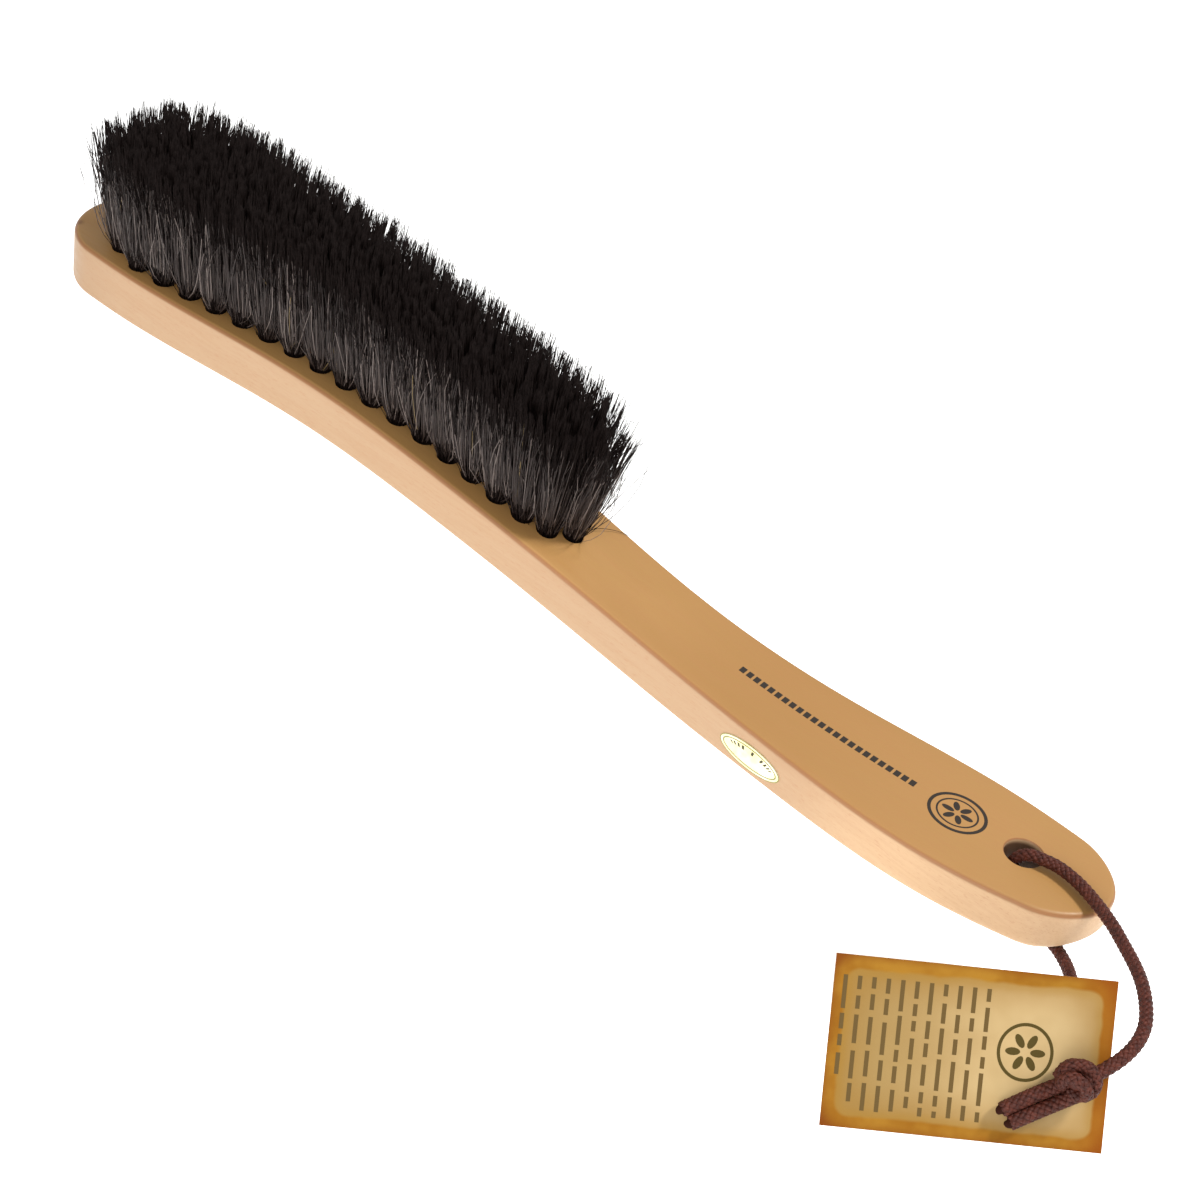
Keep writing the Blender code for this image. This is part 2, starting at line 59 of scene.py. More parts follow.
# (station, half width)
HALF_WIDTH = [
    (0, 16.9), (30, 18.7), (80, 15.5), (130, 13.9),
    (180, 12.3), (230, 14.3), (270, 16.2), (LENGTH, 11.5),
]
HEAD_ROUND = 16.0
TAIL_ROUND = 13.0
THICK_HEAD = 13.8
THICK_TAIL = 10.7
UPSWEEP = 3.0  # the back rises by this much over the last UPSWEEP_LENGTH
UPSWEEP_LENGTH = 11.0
FACE_EDGE = 1.3  # edge roundings
BACK_EDGE = 2.0
HANG_X = 280.5
HANG_R = 4.2
# tuft holes
ROW_X = [
    14.6, 20.5, 29.2, 37.6, 45.6, 53.6, 61.6, 69.6, 77.4, 85.3,
    93.3, 101.3, 109.2, 117.1, 124.8, 132.4, 140.2, 147.6, 154.0, 158.4,
]
# (station, y of the outermost holes)
FIELD_HALF_WIDTH = [
    (14.6, 6.0), (20.5, 10.9), (29.2, 13.5), (37.6, 13.3), (45.6, 12.4),
    (53.6, 11.4), (61.6, 10.4), (69.6, 9.5), (85.3, 8.3), (101.3, 7.5),
    (117.1, 6.8), (132.4, 6.6), (140.2, 6.6), (147.6, 6.0), (154.0, 4.4),
]
HOLE_PITCH = 5.9
HOLE_R = 2.6
HOLE_DEPTH = 8.0
# (station, lean of the tufts in degrees towards +X)
LEAN = [
    (11, -9.0), (20, -7.0), (30, -3.0), (60, -3.5), (100, -5.5),
    (135, -6.5), (148, -4.5), (154, 0.0), (160, 7.0),
]
SPLAY_DEG = 7.0  # sideways lean of the outermost tufts
# tag
TAG_W = 51.8
TAG_H = 31.6
TAG_T = 0.45
TAG_CURL = 0.10
TAG_HOLE_U = 19.4  # the hole in the tag's own axes, from its middle
TAG_HOLE_V = -1.9
TAG_HOLE_R = 2.3


# ---------------------------------------------------------------- shape of the stock
def natural_spline(table):
    """Value and slope functions of the natural cubic through (x, value) pairs."""
    xs, ys = np.array(table, float).T
    count = len(xs)
    gaps = np.diff(xs)
    system = np.zeros((count, count))
    target = np.zeros(count)
    system[0, 0] = system[-1, -1] = 1.0
    for i in range(1, count - 1):
        system[i, i - 1] = gaps[i - 1]
        system[i, i] = 2 * (gaps[i - 1] + gaps[i])
        system[i, i + 1] = gaps[i]
        target[i] = 6 * ((ys[i + 1] - ys[i]) / gaps[i] - (ys[i] - ys[i - 1]) / gaps[i - 1])
    bend = np.linalg.solve(system, target)

    def locate(x):
        x = np.asarray(x, float)
        i = np.clip(np.searchsorted(xs, x) - 1, 0, count - 2)
        gap = gaps[i]
        low = ys[i] / gap - bend[i] * gap / 6
        high = ys[i + 1] / gap - bend[i + 1] * gap / 6
        return bend[i], bend[i + 1], gap, xs[i + 1] - x, x - xs[i], low, high

    def value(x):
        bend_low, bend_high, gap, ahead, behind, low, high = locate(x)
        cubic = (bend_low * ahead**3 + bend_high * behind**3) / (6 * gap)
        return cubic + low * ahead + high * behind

    def slope(x):
        bend_low, bend_high, gap, ahead, behind, low, high = locate(x)
        return (-bend_low * ahead**2 + bend_high * behind**2) / (2 * gap) - low + high

    return value, slope


face_z, face_slope = natural_spline(FACE_HEIGHT)
half_width, half_width_slope = natural_spline(HALF_WIDTH)


def table_at(table, x):
    xs, ys = zip(*table)
    return np.interp(x, xs, ys)


def unit(vector):
    vector = np.asarray(vector, float)
    return vector / np.linalg.norm(vector, axis=-1, keepdims=True)


def end_round(x):
    """Share of the half width left by the rounded ends."""
    head = np.clip(np.asarray(x, float) / HEAD_ROUND, 0.0, 1.0)
    tail = np.clip((LENGTH - np.asarray(x, float)) / TAIL_ROUND, 0.0, 1.0)
    return np.sqrt(np.maximum(0.0, 1 - (1 - head) ** 2)) * np.sqrt(
        np.maximum(0.0, 1 - (1 - tail) ** 2)
    )


def outline_y(x):
    return half_width(x) * end_round(x)


def thickness(x):
    x = np.asarray(x, float)
    end = np.clip((x - LENGTH + UPSWEEP_LENGTH) / UPSWEEP_LENGTH, 0.0, 1.0)
    return THICK_HEAD + (THICK_TAIL - THICK_HEAD) * x / LENGTH - UPSWEEP * end * end


def normal(x):
    slope = face_slope(x)
    size = np.hypot(1.0, slope)
    return np.stack([-slope / size, np.zeros_like(slope), 1.0 / size], -1)


def tangent(x):
    slope = face_slope(x)
    size = np.hypot(1.0, slope)
    return np.stack([1.0 / size, np.zeros_like(slope), slope / size], -1)


def face_point(x, y, depth=0.0):
    """World point at a station and y, `depth` under the face."""
    x, y, depth = np.broadcast_arrays(np.asarray(x, float), y, depth)
    return np.stack([x - ORIGIN_X, y, face_z(x)], -1) - normal(x) * depth[..., None]


def field_edge_y(x):
    return table_at(FIELD_HALF_WIDTH, x)


def tuft_dir(x, y):
    x, y = np.broadcast_arrays(np.asarray(x, float), np.asarray(y, float))
    lean = np.radians(table_at(LEAN, x))
    side = np.radians(SPLAY_DEG) * y / field_edge_y(x)
    return unit(np.stack([np.sin(lean), np.sin(side), np.cos(lean) * np.cos(side)], -1))


def row_holes(row):
    """The y of each hole of a row; the last row is a single tuft."""
    if row == len(ROW_X) - 1:
        return [0.0]
    edge = float(field_edge_y(ROW_X[row]))
    count = int(2 * edge / HOLE_PITCH) + 1
    return [edge * (2 * k / (count - 1) - 1) for k in range(count)]


# ---------------------------------------------------------------- mesh helpers
def make_object(name, verts, faces, materials, smooth=True, sharp=None, index=None,
                place=None, outward=False):
    """Verts are world millimetres; place, if given, is the object's own frame."""
    verts = np.asarray(verts, float) * MM
    if place is not None:
        inverse = np.array(place.inverted())
        verts = verts @ inverse[:3, :3].T + inverse[:3, 3]
    mesh = bpy.data.meshes.new(name)
    mesh.from_pydata(verts.tolist(), [], faces)
    mesh.update()
    for material in materials:
        mesh.materials.append(material)
    mesh.polygons.foreach_set("use_smooth", [smooth] * len(mesh.polygons))
    if index is not None:
        mesh.polygons.foreach_set("material_index", np.asarray(index, np.int32))
    if sharp is not None:
        mesh.set_sharp_from_angle(angle=math.radians(sharp))
    if outward:
        bm = bmesh.new()
        bm.from_mesh(mesh)
        bmesh.ops.recalc_face_normals(bm, faces=bm.faces)
        bm.to_mesh(mesh)
        bm.free()
    obj = bpy.data.objects.new(name, mesh)
    bpy.context.scene.collection.objects.link(obj)
    if place is not None:
        obj.matrix_world = place
    return obj


def register(obj, rides, replaces=None):
    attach(obj, rides)
    if replaces:
        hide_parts(replaces)


def join(parts):
    verts, faces = [], []
    total = 0
    for part_verts, part_faces in parts:
        verts.append(np.asarray(part_verts, float))
        faces.extend([[i + total for i in face] for face in part_faces])
        total += len(part_verts)
    return np.concatenate(verts), faces


def join_slots(*groups):
    """Join groups of parts, group k in material slot k: verts, faces and slot of each face."""
    verts, faces = join([part for group in groups for part in group])
    index = [slot for slot, group in enumerate(groups) for part in group for _ in part[1]]
    return verts, faces, index


def placement(origin, x_axis, y_axis, z_axis):
    turn = Matrix((tuple(x_axis), tuple(y_axis), tuple(z_axis))).transposed()
    return Matrix.Translation(origin) @ turn.to_4x4()


def catmull(points, step):
    """Catmull-Rom curve through the points, in steps of about `step`."""
    ctrl = [np.asarray(point, float) for point in points]
    ctrl = [2 * ctrl[0] - ctrl[1]] + ctrl + [2 * ctrl[-1] - ctrl[-2]]
    curve = []
    for i in range(1, len(ctrl) - 2):
        before, start, end, after = ctrl[i - 1:i + 3]
        count = max(1, round(float(np.linalg.norm(end - start)) / step))
        for k in range(count):
            t = k / count
            linear = (end - before) * t
            square = (2 * before - 5 * start + 4 * end - after) * t**2
            cube = (3 * start - before - 3 * end + after) * t**3
            curve.append(0.5 * (2 * start + linear + square + cube))
    curve.append(ctrl[-2])
    return np.array(curve)


def resample(path, step):
    """Evenly spaced points along a path, and their distances from its start."""
    travelled = np.r_[0, np.cumsum(np.linalg.norm(np.diff(path, axis=0), axis=1))]
    count = max(2, int(round(travelled[-1] / step)) + 1)
    even = np.linspace(0, travelled[-1], count)
    return np.stack([np.interp(even, travelled, path[:, k]) for k in range(3)], 1), even


def side_axes(path):
    """Two axes square to the path, carried along it without twisting."""
    along = np.gradient(path, axis=0)
    along /= np.linalg.norm(along, axis=1)[:, None]
    first = np.zeros_like(path)
    carried = np.cross(along[0], [0.3, 0.2, 1.0])
    for i in range(len(path)):
        carried = carried - along[i] * np.dot(carried, along[i])
        carried = carried / np.linalg.norm(carried)
        first[i] = carried
    return first, np.cross(along, first)


def tube_faces(rings, sides):
    k = np.arange(sides)
    after = (k + 1) % sides
    ring = np.arange(rings - 1)[:, None] * sides
    quads = [ring + k, ring + after, ring + sides + after, ring + sides + k]
    faces = np.stack(quads, -1).reshape(-1, 4).tolist()
    faces.append(list(range(sides - 1, -1, -1)))
    faces.append([(rings - 1) * sides + i for i in range(sides)])
    return faces


def sweep(path, axis_a, axis_b, radius_a, radius_b, sides):
    """A closed tube with an elliptical section, whose radii may change along the path."""
    count = len(path)
    radius_a = np.broadcast_to(np.asarray(radius_a, float), (count,))
    radius_b = np.broadcast_to(np.asarray(radius_b, float), (count,))
    angle = 2 * np.pi * np.arange(sides) / sides
    part_a = axis_a[:, None, :] * (radius_a[:, None] * np.cos(angle))[:, :, None]
    part_b = axis_b[:, None, :] * (radius_b[:, None] * np.sin(angle))[:, :, None]
    verts = path[:, None, :] + part_a + part_b
    return verts.reshape(-1, 3), tube_faces(count, sides)


def lathe(base, axis, rim_x, rim_y, profile, sides):
    """A closed turned solid: profile is (height along axis, radius) from bottom to top."""
    angle = 2 * np.pi * np.arange(sides) / sides
    rim = rim_x[None, :] * np.cos(angle)[:, None] + rim_y[None, :] * np.sin(angle)[:, None]
    verts = np.concatenate([base + axis * height + rim * r for height, r in profile])
    return verts, tube_faces(len(profile), sides)


# Thin solids laid on a surface by place(a, b, off), from off = low to off = high
def plate(place, outline, low, high):
    count = len(outline)
    verts = [place(a, b, off) for off in (low, high) for a, b in outline]
    faces = [list(range(count - 1, -1, -1)), list(range(count, 2 * count))]
    for i in range(count):
        j = (i + 1) % count
        faces.append([i, j, count + j, count + i])
    return np.array(verts), faces


def rect(a0, b0, a1, b1):
    return [(a0, b0), (a1, b0), (a1, b1), (a0, b1)]


def ellipse_band(place, outer, inner, low, high, steps, centre=(0.0, 0.0), start=0.0, end=1.0):
    """The band between two ellipses given by their radii, or its part from start to end."""
    whole = end - start >= 1.0
    count = steps if whole else max(2, int(steps * (end - start)))
    sections = count if whole else count + 1
    corners = ((outer, low), (outer, high), (inner, high), (inner, low))
    verts, faces = [], []
    for k in range(sections):
        t = 2 * math.pi * (start + (end - start) * k / count)
        for (a, b), off in corners:
            verts.append(place(centre[0] + a * math.cos(t), centre[1] + b * math.sin(t), off))
    for k in range(count):
        this, following = 4 * k, 4 * ((k + 1) % sections)
        for c in range(4):
            d = (c + 1) % 4
            faces.append([this + c, this + d, following + d, following + c])
    if not whole:
        faces.append([0, 3, 2, 1])
        faces.append([4 * count + c for c in range(4)])
    return np.array(verts), faces


def petals(place, centre, reach, half_length, low, high, squash=1.0):
    """Six oval plates set like petals, their middles at `reach` from the centre."""
    count, points, petal_half_width = 6, 14, 0.72
    parts = []
    for k in range(count):
        turn = 2 * math.pi * k / count
        outline = []
        for q in range(points):
            t = 2 * math.pi * q / points
            x = reach + half_length * math.cos(t)
            y = petal_half_width * math.sin(t)
            a = centre[0] + x * math.cos(turn) - y * math.sin(turn)
            b = centre[1] + (x * math.sin(turn) + y * math.cos(turn)) * squash
            outline.append((a, b))
        parts.append(plate(place, outline, low, high))
    return parts


# ---------------------------------------------------------------- materials
def srgb(r, g, b):
    out = []
    for value in (r, g, b):
        value /= 255.0
        out.append(value / 12.92 if value <= 0.04045 else ((value + 0.055) / 1.055) ** 2.4)
    return (*out, 1.0)


class Graph:
    """A Principled material and short ways to add nodes to it."""

    def __init__(self, name, colour, roughness, specular):
        self.material = bpy.data.materials.new(name)
        self.material.use_nodes = True
        self.tree = self.material.node_tree
        self.shader = self.tree.nodes["Principled BSDF"]
        self.set("Base Color", colour)
        self.set("Roughness", roughness)
        self.set("Specular IOR Level", specular)
        self.material.diffuse_color = colour

    def put(self, value, socket):
        if isinstance(value, bpy.types.NodeSocket):
            self.tree.links.new(value, socket)
        else:
            socket.default_value = value

    def set(self, name, value):
        self.put(value, self.shader.inputs[name])

    def node(self, kind, inputs=()):
        """Add a node; inputs are (socket name or number, value or socket) pairs."""
        node = self.tree.nodes.new(kind)
        for key, value in inputs:
            self.put(value, node.inputs[key])
        return node

    def noise(self, scale, detail=2.0, rough=0.5, offset=(0, 0, 0), output="Fac"):
        where = self.node("ShaderNodeTexCoord").outputs["Object"]
        inputs = (("Scale", scale), ("Location", offset), ("Vector", where))
        vector = self.node("ShaderNodeMapping", inputs).outputs["Vector"]
        inputs = (("Vector", vector), ("Scale", 1.0), ("Detail", detail), ("Roughness", rough))
        return self.node("ShaderNodeTexNoise", inputs).outputs[output]

    def ramp(self, value, span, to=(0.0, 1.0)):
        """Smooth step from to[0] to to[1] as the value crosses the span."""
        node = self.node("ShaderNodeMapRange")
        node.interpolation_type = "SMOOTHSTEP"
        self.put(value, node.inputs["Value"])
        node.inputs["From Min"].default_value, node.inputs["From Max"].default_value = span
        node.inputs["To Min"].default_value, node.inputs["To Max"].default_value = to
        return node.outputs["Result"]

    def math(self, operation, a, b=0.0):
        node = self.node("ShaderNodeMath", ((0, a), (1, b)))
        node.operation = operation
        return node.outputs[0]

    def vector_math(self, operation, *values):
        node = self.node("ShaderNodeVectorMath", enumerate(values))
        node.operation = operation
        return node.outputs

    def xyz(self, vector):
        return self.node("ShaderNodeSeparateXYZ", ((0, vector),)).outputs

    def mix(self, factor, a, b):
        node = self.node("ShaderNodeMix")
        node.data_type = "RGBA"
        self.put(factor, node.inputs["Factor"])
        self.put(a, node.inputs[6])
        self.put(b, node.inputs[7])
        return node.outputs[2]

    def tint(self, base, colour, mask, strength):
        return self.mix(self.math("MULTIPLY", mask, strength), base, colour)

    def bump(self, height, strength, distance):
        inputs = (("Strength", strength), ("Distance", distance), ("Height", height))
        self.set("Normal", self.node("ShaderNodeBump", inputs).outputs["Normal"])


def hang_bore_shade_mask(g, position):
    """1 inside the hang hole, where the wood is painted with shade: close to its axis and under
    the face.
    """
    offset = g.vector_math("SUBTRACT", position, tuple(face_point(HANG_X, 0.0) * MM))[0]
    along = g.vector_math("DOT_PRODUCT", offset, tuple(normal(HANG_X)))["Value"]
    total = g.vector_math("LENGTH", offset)["Value"]
    total_squared = g.math("MULTIPLY", total, total)
    along_squared = g.math("MULTIPLY", along, along)
    radial_squared = g.math("SUBTRACT", total_squared, along_squared)
    radial = g.math("SQRT", g.math("MAXIMUM", radial_squared, 0.0))
    wall_span = ((HANG_R + 0.12) * MM, (HANG_R + 0.5) * MM)
    inside = g.ramp(radial, span=wall_span, to=(1.0, 0.0))
    return g.math("MULTIPLY", inside, g.ramp(along, span=(-0.0016, -0.0001), to=(1.0, 0.0)))


def beech_material():
    g = Graph("beech", srgb(214, 172, 124), roughness=0.46, specular=0.3)
    coords = g.node("ShaderNodeTexCoord").outputs
    up = g.xyz(coords["Normal"])[2]
    x = g.xyz(coords["Object"])[0]
    top = g.ramp(up, span=(0.52, 0.90))
    # painted shade: a dark line along the rounded edge between the face and the sides
    rising = g.ramp(up, span=(0.12, 0.55))
    arris_shade = g.math("MULTIPLY", rising, g.ramp(up, span=(0.74, 0.97), to=(1.0, 0.0)))
    # sides: a paler, pinker colour than the face, painted light for how light falls on the walls;
    # paler still on the handle as a painted highlight, and darker at the head end
    side = g.mix(g.ramp(x, span=(0.018, 0.055)), srgb(173, 142, 110), srgb(199, 166, 129))
    head_end = g.ramp(x, span=(-0.206, -0.176), to=(1.0, 0.0))
    side = g.mix(head_end, side, srgb(163, 134, 103))
    # face: mottled at the head, then two tones along the handle
    mottle = g.ramp(g.noise(scale=(17, 60, 60)), span=(0.32, 0.68))
    face = g.mix(mottle, srgb(154, 116, 66), srgb(167, 128, 76))
    past_head = g.ramp(x, span=(-0.08, 0.01))
    handle = g.mix(g.ramp(x, span=(0.0, 0.07)), srgb(145, 107, 58), srgb(151, 113, 64))
    face = g.mix(past_head, face, handle)
    # painted light: the face colour where the surface looks up and the side colour on the walls
    base = g.mix(top, side, face)
    # painted shade darkens the wood along the rounded edge
    base = g.tint(base, srgb(132, 86, 48), arris_shade, strength=0.85)
    # broad tone bands along the grain
    broad = g.noise(scale=(11, 130, 130), detail=3.0, rough=0.55, offset=(3, 1, 2))
    broad = g.ramp(broad, span=(0.3, 0.7))
    base = g.tint(base, srgb(160, 112, 70), broad, strength=0.13)
    # fine growth lines
    fine = g.noise(scale=(60, 1500, 1500), rough=0.6, offset=(5, 2, 7))
    fine = g.ramp(fine, span=(0.40, 0.66))
    base = g.tint(base, srgb(150, 100, 64), fine, strength=0.10)
    # the short dark flecks of beech, clearest on the sides
    fleck = g.noise(scale=(620, 4200, 4200), detail=1.0, offset=(1, 9, 4))
    fleck = g.ramp(fleck, span=(0.60, 0.70))
    side_strength, top_loss = 0.24, 0.10
    strength = g.math("SUBTRACT", side_strength, g.math("MULTIPLY", top, top_loss))
    base = g.tint(base, srgb(158, 102, 66), fleck, strength)
    # a pin knot by the -Y edge of the head
    pin_at = tuple(face_point(4.9, -11.4) * MM)
    distance = g.vector_math("DISTANCE", coords["Object"], pin_at)["Value"]
    pin = g.ramp(distance, span=(0.0005, 0.0019), to=(1.0, 0.0))
    base = g.tint(base, srgb(110, 70, 42), pin, strength=0.65)
    # painted shade: the wood inside the hang hole darkened almost to dark brown
    bore = hang_bore_shade_mask(g, coords["Object"])
    base = g.tint(base, srgb(64, 38, 22), bore, strength=0.93)
    g.set("Base Color", base)
    g.set("Coat Weight", 0.05)
    g.set("Coat Roughness", 0.35)
    sheen = g.noise(scale=(90, 700, 700), offset=(8, 3, 3))
    g.set("Roughness", g.ramp(sheen, span=(0.3, 0.7), to=(0.42, 0.54)))
    grooves = g.math("MULTIPLY", fine, -0.5)
    height = g.math("ADD", grooves, g.noise(scale=(300, 2600, 2600), rough=0.6))
    g.bump(height, strength=0.12, distance=0.00006)
    return g.material


def cord_material():
    g = Graph("cord_brown", srgb(72, 34, 26), roughness=0.58, specular=0.22)
    tone = g.ramp(g.noise(scale=(900, 900, 900), detail=3.0, rough=0.6), span=(0.3, 0.7))
    g.set("Base Color", g.mix(tone, srgb(52, 20, 12), srgb(80, 36, 24)))
    fibre = g.noise(scale=(5200, 5200, 5200), detail=1.0, offset=(2, 2, 2))
    g.bump(fibre, strength=0.35, distance=0.00006)
    return g.material


def card_material():
    """Aged card: a lighter panel inside a darker border; the object origin is its middle."""
    g = Graph("aged_card", srgb(176, 140, 80), roughness=0.6, specular=0.12)
    position = g.node("ShaderNodeTexCoord").outputs["Object"]
    wobble = g.noise(scale=(170, 170, 170), output="Color")
    wobble_size = (0.0012, 0.0012, 0.0)
    p = g.xyz(g.vector_math("MULTIPLY_ADD", wobble, wobble_size, position)[0])

    def from_middle(metres):
        """Millimetres from the middle, less the mean shift of the wobble."""
        shifted = g.math("ADD", g.math("MULTIPLY", metres, 1000.0), -0.6)
        return g.math("ABSOLUTE", shifted)

    u, v = from_middle(p[0]), from_middle(p[1])

    def past_inset(inset):
        """Distance past a rectangle set in from the card's edges."""
        du = g.math("MAXIMUM", g.math("SUBTRACT", u, TAG_W / 2 - inset), 0.0)
        dv = g.math("MAXIMUM", g.math("SUBTRACT", v, TAG_H / 2 - inset), 0.0)
        du_squared = g.math("MULTIPLY", du, du)
        return g.math("SQRT", g.math("ADD", du_squared, g.math("MULTIPLY", dv, dv)))

    corner = 5.0
    distance = past_inset(corner)
    wide = g.ramp(past_inset(11.0), span=(1.0, 9.5))
    border = g.ramp(distance, span=(corner - 2.7, corner - 1.9))
    near_border = g.ramp(distance, span=(corner - 4.6, corner - 2.3))
    burnt = g.ramp(distance, span=(corner - 1.4, corner + 1.3))
    mottle = g.noise(scale=(60, 60, 60), detail=3.0, rough=0.6, offset=(4, 4, 0))
    mottle = g.ramp(mottle, span=(0.32, 0.68))
    across = g.ramp(p[0], span=(-0.020, 0.014))
    inner = g.mix(across, srgb(138, 112, 66), srgb(172, 148, 106))
    inner = g.tint(inner, srgb(134, 106, 60), mottle, strength=0.35)
    inner = g.tint(inner, srgb(128, 94, 38), wide, strength=0.6)
    inner = g.tint(inner, srgb(134, 98, 30), near_border, strength=0.45)
    patches = g.noise(scale=(90, 90, 90), detail=3.0, rough=0.6, offset=(7, 1, 0))
    outer = g.mix(g.ramp(patches, span=(0.35, 0.65)), srgb(124, 78, 8), srgb(140, 98, 26))
    base = g.mix(border, inner, outer)
    base = g.tint(base, srgb(104, 50, 0), burnt, strength=0.9)
    # a warmer border towards the punched end
    warm = g.ramp(p[0], span=(0.017, 0.026), to=(0.0, 0.6))
    base = g.tint(base, srgb(126, 66, 2), warm, border)
    g.set("Base Color", base)
    tooth = g.noise(scale=(1800, 1800, 1800), detail=3.0, rough=0.6)
    g.bump(tooth, strength=0.08, distance=0.00005)
    return g.material


def foil_material():
    g = Graph("foil_cream", srgb(238, 230, 186), roughness=0.34, specular=0.5)
    tone = g.ramp(g.noise(scale=(260, 260, 260)), span=(0.3, 0.7))
    g.set("Base Color", g.mix(tone, srgb(232, 220, 160), srgb(246, 242, 214)))
    g.set("Metallic", 0.15)
    return g.material


def plain(name, colour, roughness, specular):
    return Graph(name, colour, roughness, specular).material


WOOD = beech_material()
HAIR = [
    # a darker, duller copy of the black hair: painted shade at the roots and on the upper hairs,
    # and the loose hair's own dark colour
    plain("hair_dark_shade", srgb(21, 13, 11), roughness=0.62, specular=0.10),
    plain("hair_black", srgb(50, 40, 37), roughness=0.45, specular=0.45),
    # real grey hairs, and painted highlight where their share is raised on the flanks
    plain("hair_grey_and_highlight", srgb(106, 94, 89), roughness=0.42, specular=0.5),
    plain("hair_straw", srgb(150, 128, 86), roughness=0.45, specular=0.5),
]
DARK_SHADE, BLACK, GREY_AND_HIGHLIGHT, STRAW = range(4)  # slots of HAIR
CORD = cord_material()
CORD_TIP = plain("cord_melted", srgb(44, 20, 13), roughness=0.7, specular=0.04)
CARD = card_material()
CARD_INK = plain("card_ink", srgb(88, 70, 40), roughness=0.7, specular=0.05)
CARD_EMBLEM = plain("card_emblem", srgb(70, 58, 26), roughness=0.7, specular=0.08)
FOIL = foil_material()
# printed ring, and painted shadow along the label's edge
FOIL_LINE_AND_EDGE_SHADOW = plain("foil_line_and_edge_shadow", srgb(122, 120, 66), roughness=0.5, specular=0.3)
FOIL_MARK = plain("foil_mark", srgb(70, 66, 44), roughness=0.5, specular=0.2)
INK = plain("print_ink", srgb(36, 28, 20), roughness=0.55, specular=0.3)


# ---------------------------------------------------------------- stock
def stock_stations():
    """Stations bunched round the two ends."""
    steps = 26
    turn = [1 - math.cos(k * math.pi / 2 / steps) for k in range(steps + 1)]
    middle = np.linspace(HEAD_ROUND, LENGTH - TAIL_ROUND, 150)[1:-1]
    head = [HEAD_ROUND * t for t in turn]
    tail = [LENGTH - TAIL_ROUND * t for t in reversed(turn)]
    return np.array(head + list(middle) + tail)


def stock_layers(plan):
    """Closed outlines from the face, down the wall, to the back."""
    edge = unit(np.roll(plan, -1, axis=0) - np.roll(plan, 1, axis=0))
    outward = np.stack([edge[:, 1], -edge[:, 0]], 1)

    def layer(inset, depth_at):
        rim = plan - outward * inset
        x = np.clip(rim[:, 0], 0.0, LENGTH)
        return face_point(x, rim[:, 1], depth_at(thickness(x)))

    layers = []
    for degrees in np.linspace(0, 90, 8):
        t = math.radians(degrees)
        depth = FACE_EDGE * (1 - math.cos(t))
        layers.append(layer(FACE_EDGE * (1 - math.sin(t)), lambda thick: depth))
    for share in (0.2, 0.4, 0.6, 0.8):
        layers.append(
            layer(0.0, lambda thick: FACE_EDGE + (thick - BACK_EDGE - FACE_EDGE) * share)
        )
    for degrees in np.linspace(90, 0, 9):
        t = math.radians(degrees)
        rise = BACK_EDGE * (1 - math.cos(t))
        layers.append(layer(BACK_EDGE * (1 - math.sin(t)), lambda thick: thick - rise))
    return layers


def build_stock():
    stations = stock_stations()
    count = len(stations)
    low_side = np.stack([stations, -outline_y(stations)], 1)
    plan = np.concatenate([low_side, low_side[1:-1][::-1] * (1, -1)])
    around = len(plan)
    layers = stock_layers(plan)
    verts = np.concatenate(layers)
    faces = []
    i = np.arange(around)
    j = (i + 1) % around
    for r in range(len(layers) - 1):
        top, bottom = r * around, (r + 1) * around
        faces += np.stack([top + i, bottom + i, bottom + j, top + j], 1).tolist()
    # face and back as grids from the -Y edge to the +Y edge
    across = 10
    extra = []
    for base, order in ((0, 1), ((len(layers) - 1) * around, -1)):
        columns = [[base]]
        for k in range(1, count - 1):
            low, high = verts[base + k], verts[base + around - k]
            column = [base + k]
            for c in range(1, across):
                share = c / across
                column.append(len(verts) + len(extra))
                extra.append(low * (1 - share) + high * share)
            column.append(base + around - k)
            columns.append(column)
        columns.append([base + count - 1])
        for k in range(1, count - 2):
            this, following = columns[k], columns[k + 1]
            for c in range(across):
                quad = [this[c], following[c], following[c + 1], this[c + 1]]
                faces.append(quad[::order])
        first, second = columns[0], columns[1]
        before_last, last = columns[-2], columns[-1]
        for c in range(across):
            faces.append([first[0], second[c], second[c + 1]][::order])
            faces.append([last[0], before_last[c + 1], before_last[c]][::order])
    verts = np.concatenate([verts, np.array(extra)])
    verts[:, 2] = np.maximum(verts[:, 2], 0.0)
    return make_object("stock_beech", verts, faces, [WOOD], outward=True)


def hang_hole_cutter():
    """A through bore, eased at both mouths."""
    thick = float(thickness(HANG_X))
    profile = [
        (-(thick + 3), HANG_R + 2.2), (-thick - 0.02, HANG_R + 0.28),
        (-thick + 0.15, HANG_R + 0.08), (-thick + 0.4, HANG_R),
        (-0.4, HANG_R), (-0.15, HANG_R + 0.08), (0.02, HANG_R + 0.28), (3.0, HANG_R + 3.2),
    ]
    y_axis = np.array([0.0, 1.0, 0.0])
    centre = face_point(HANG_X, 0.0)
    return lathe(centre, normal(HANG_X), tangent(HANG_X), y_axis, profile, sides=48)


def tuft_hole_cutter(x, y):
    axis = tuft_dir(x, y)
    rim_x = unit(tangent(x) - axis * np.dot(tangent(x), axis))
    profile = [(-HOLE_DEPTH, HOLE_R), (2.5, HOLE_R)]
    return lathe(face_point(x, y), axis, rim_x, np.cross(axis, rim_x), profile, sides=20)


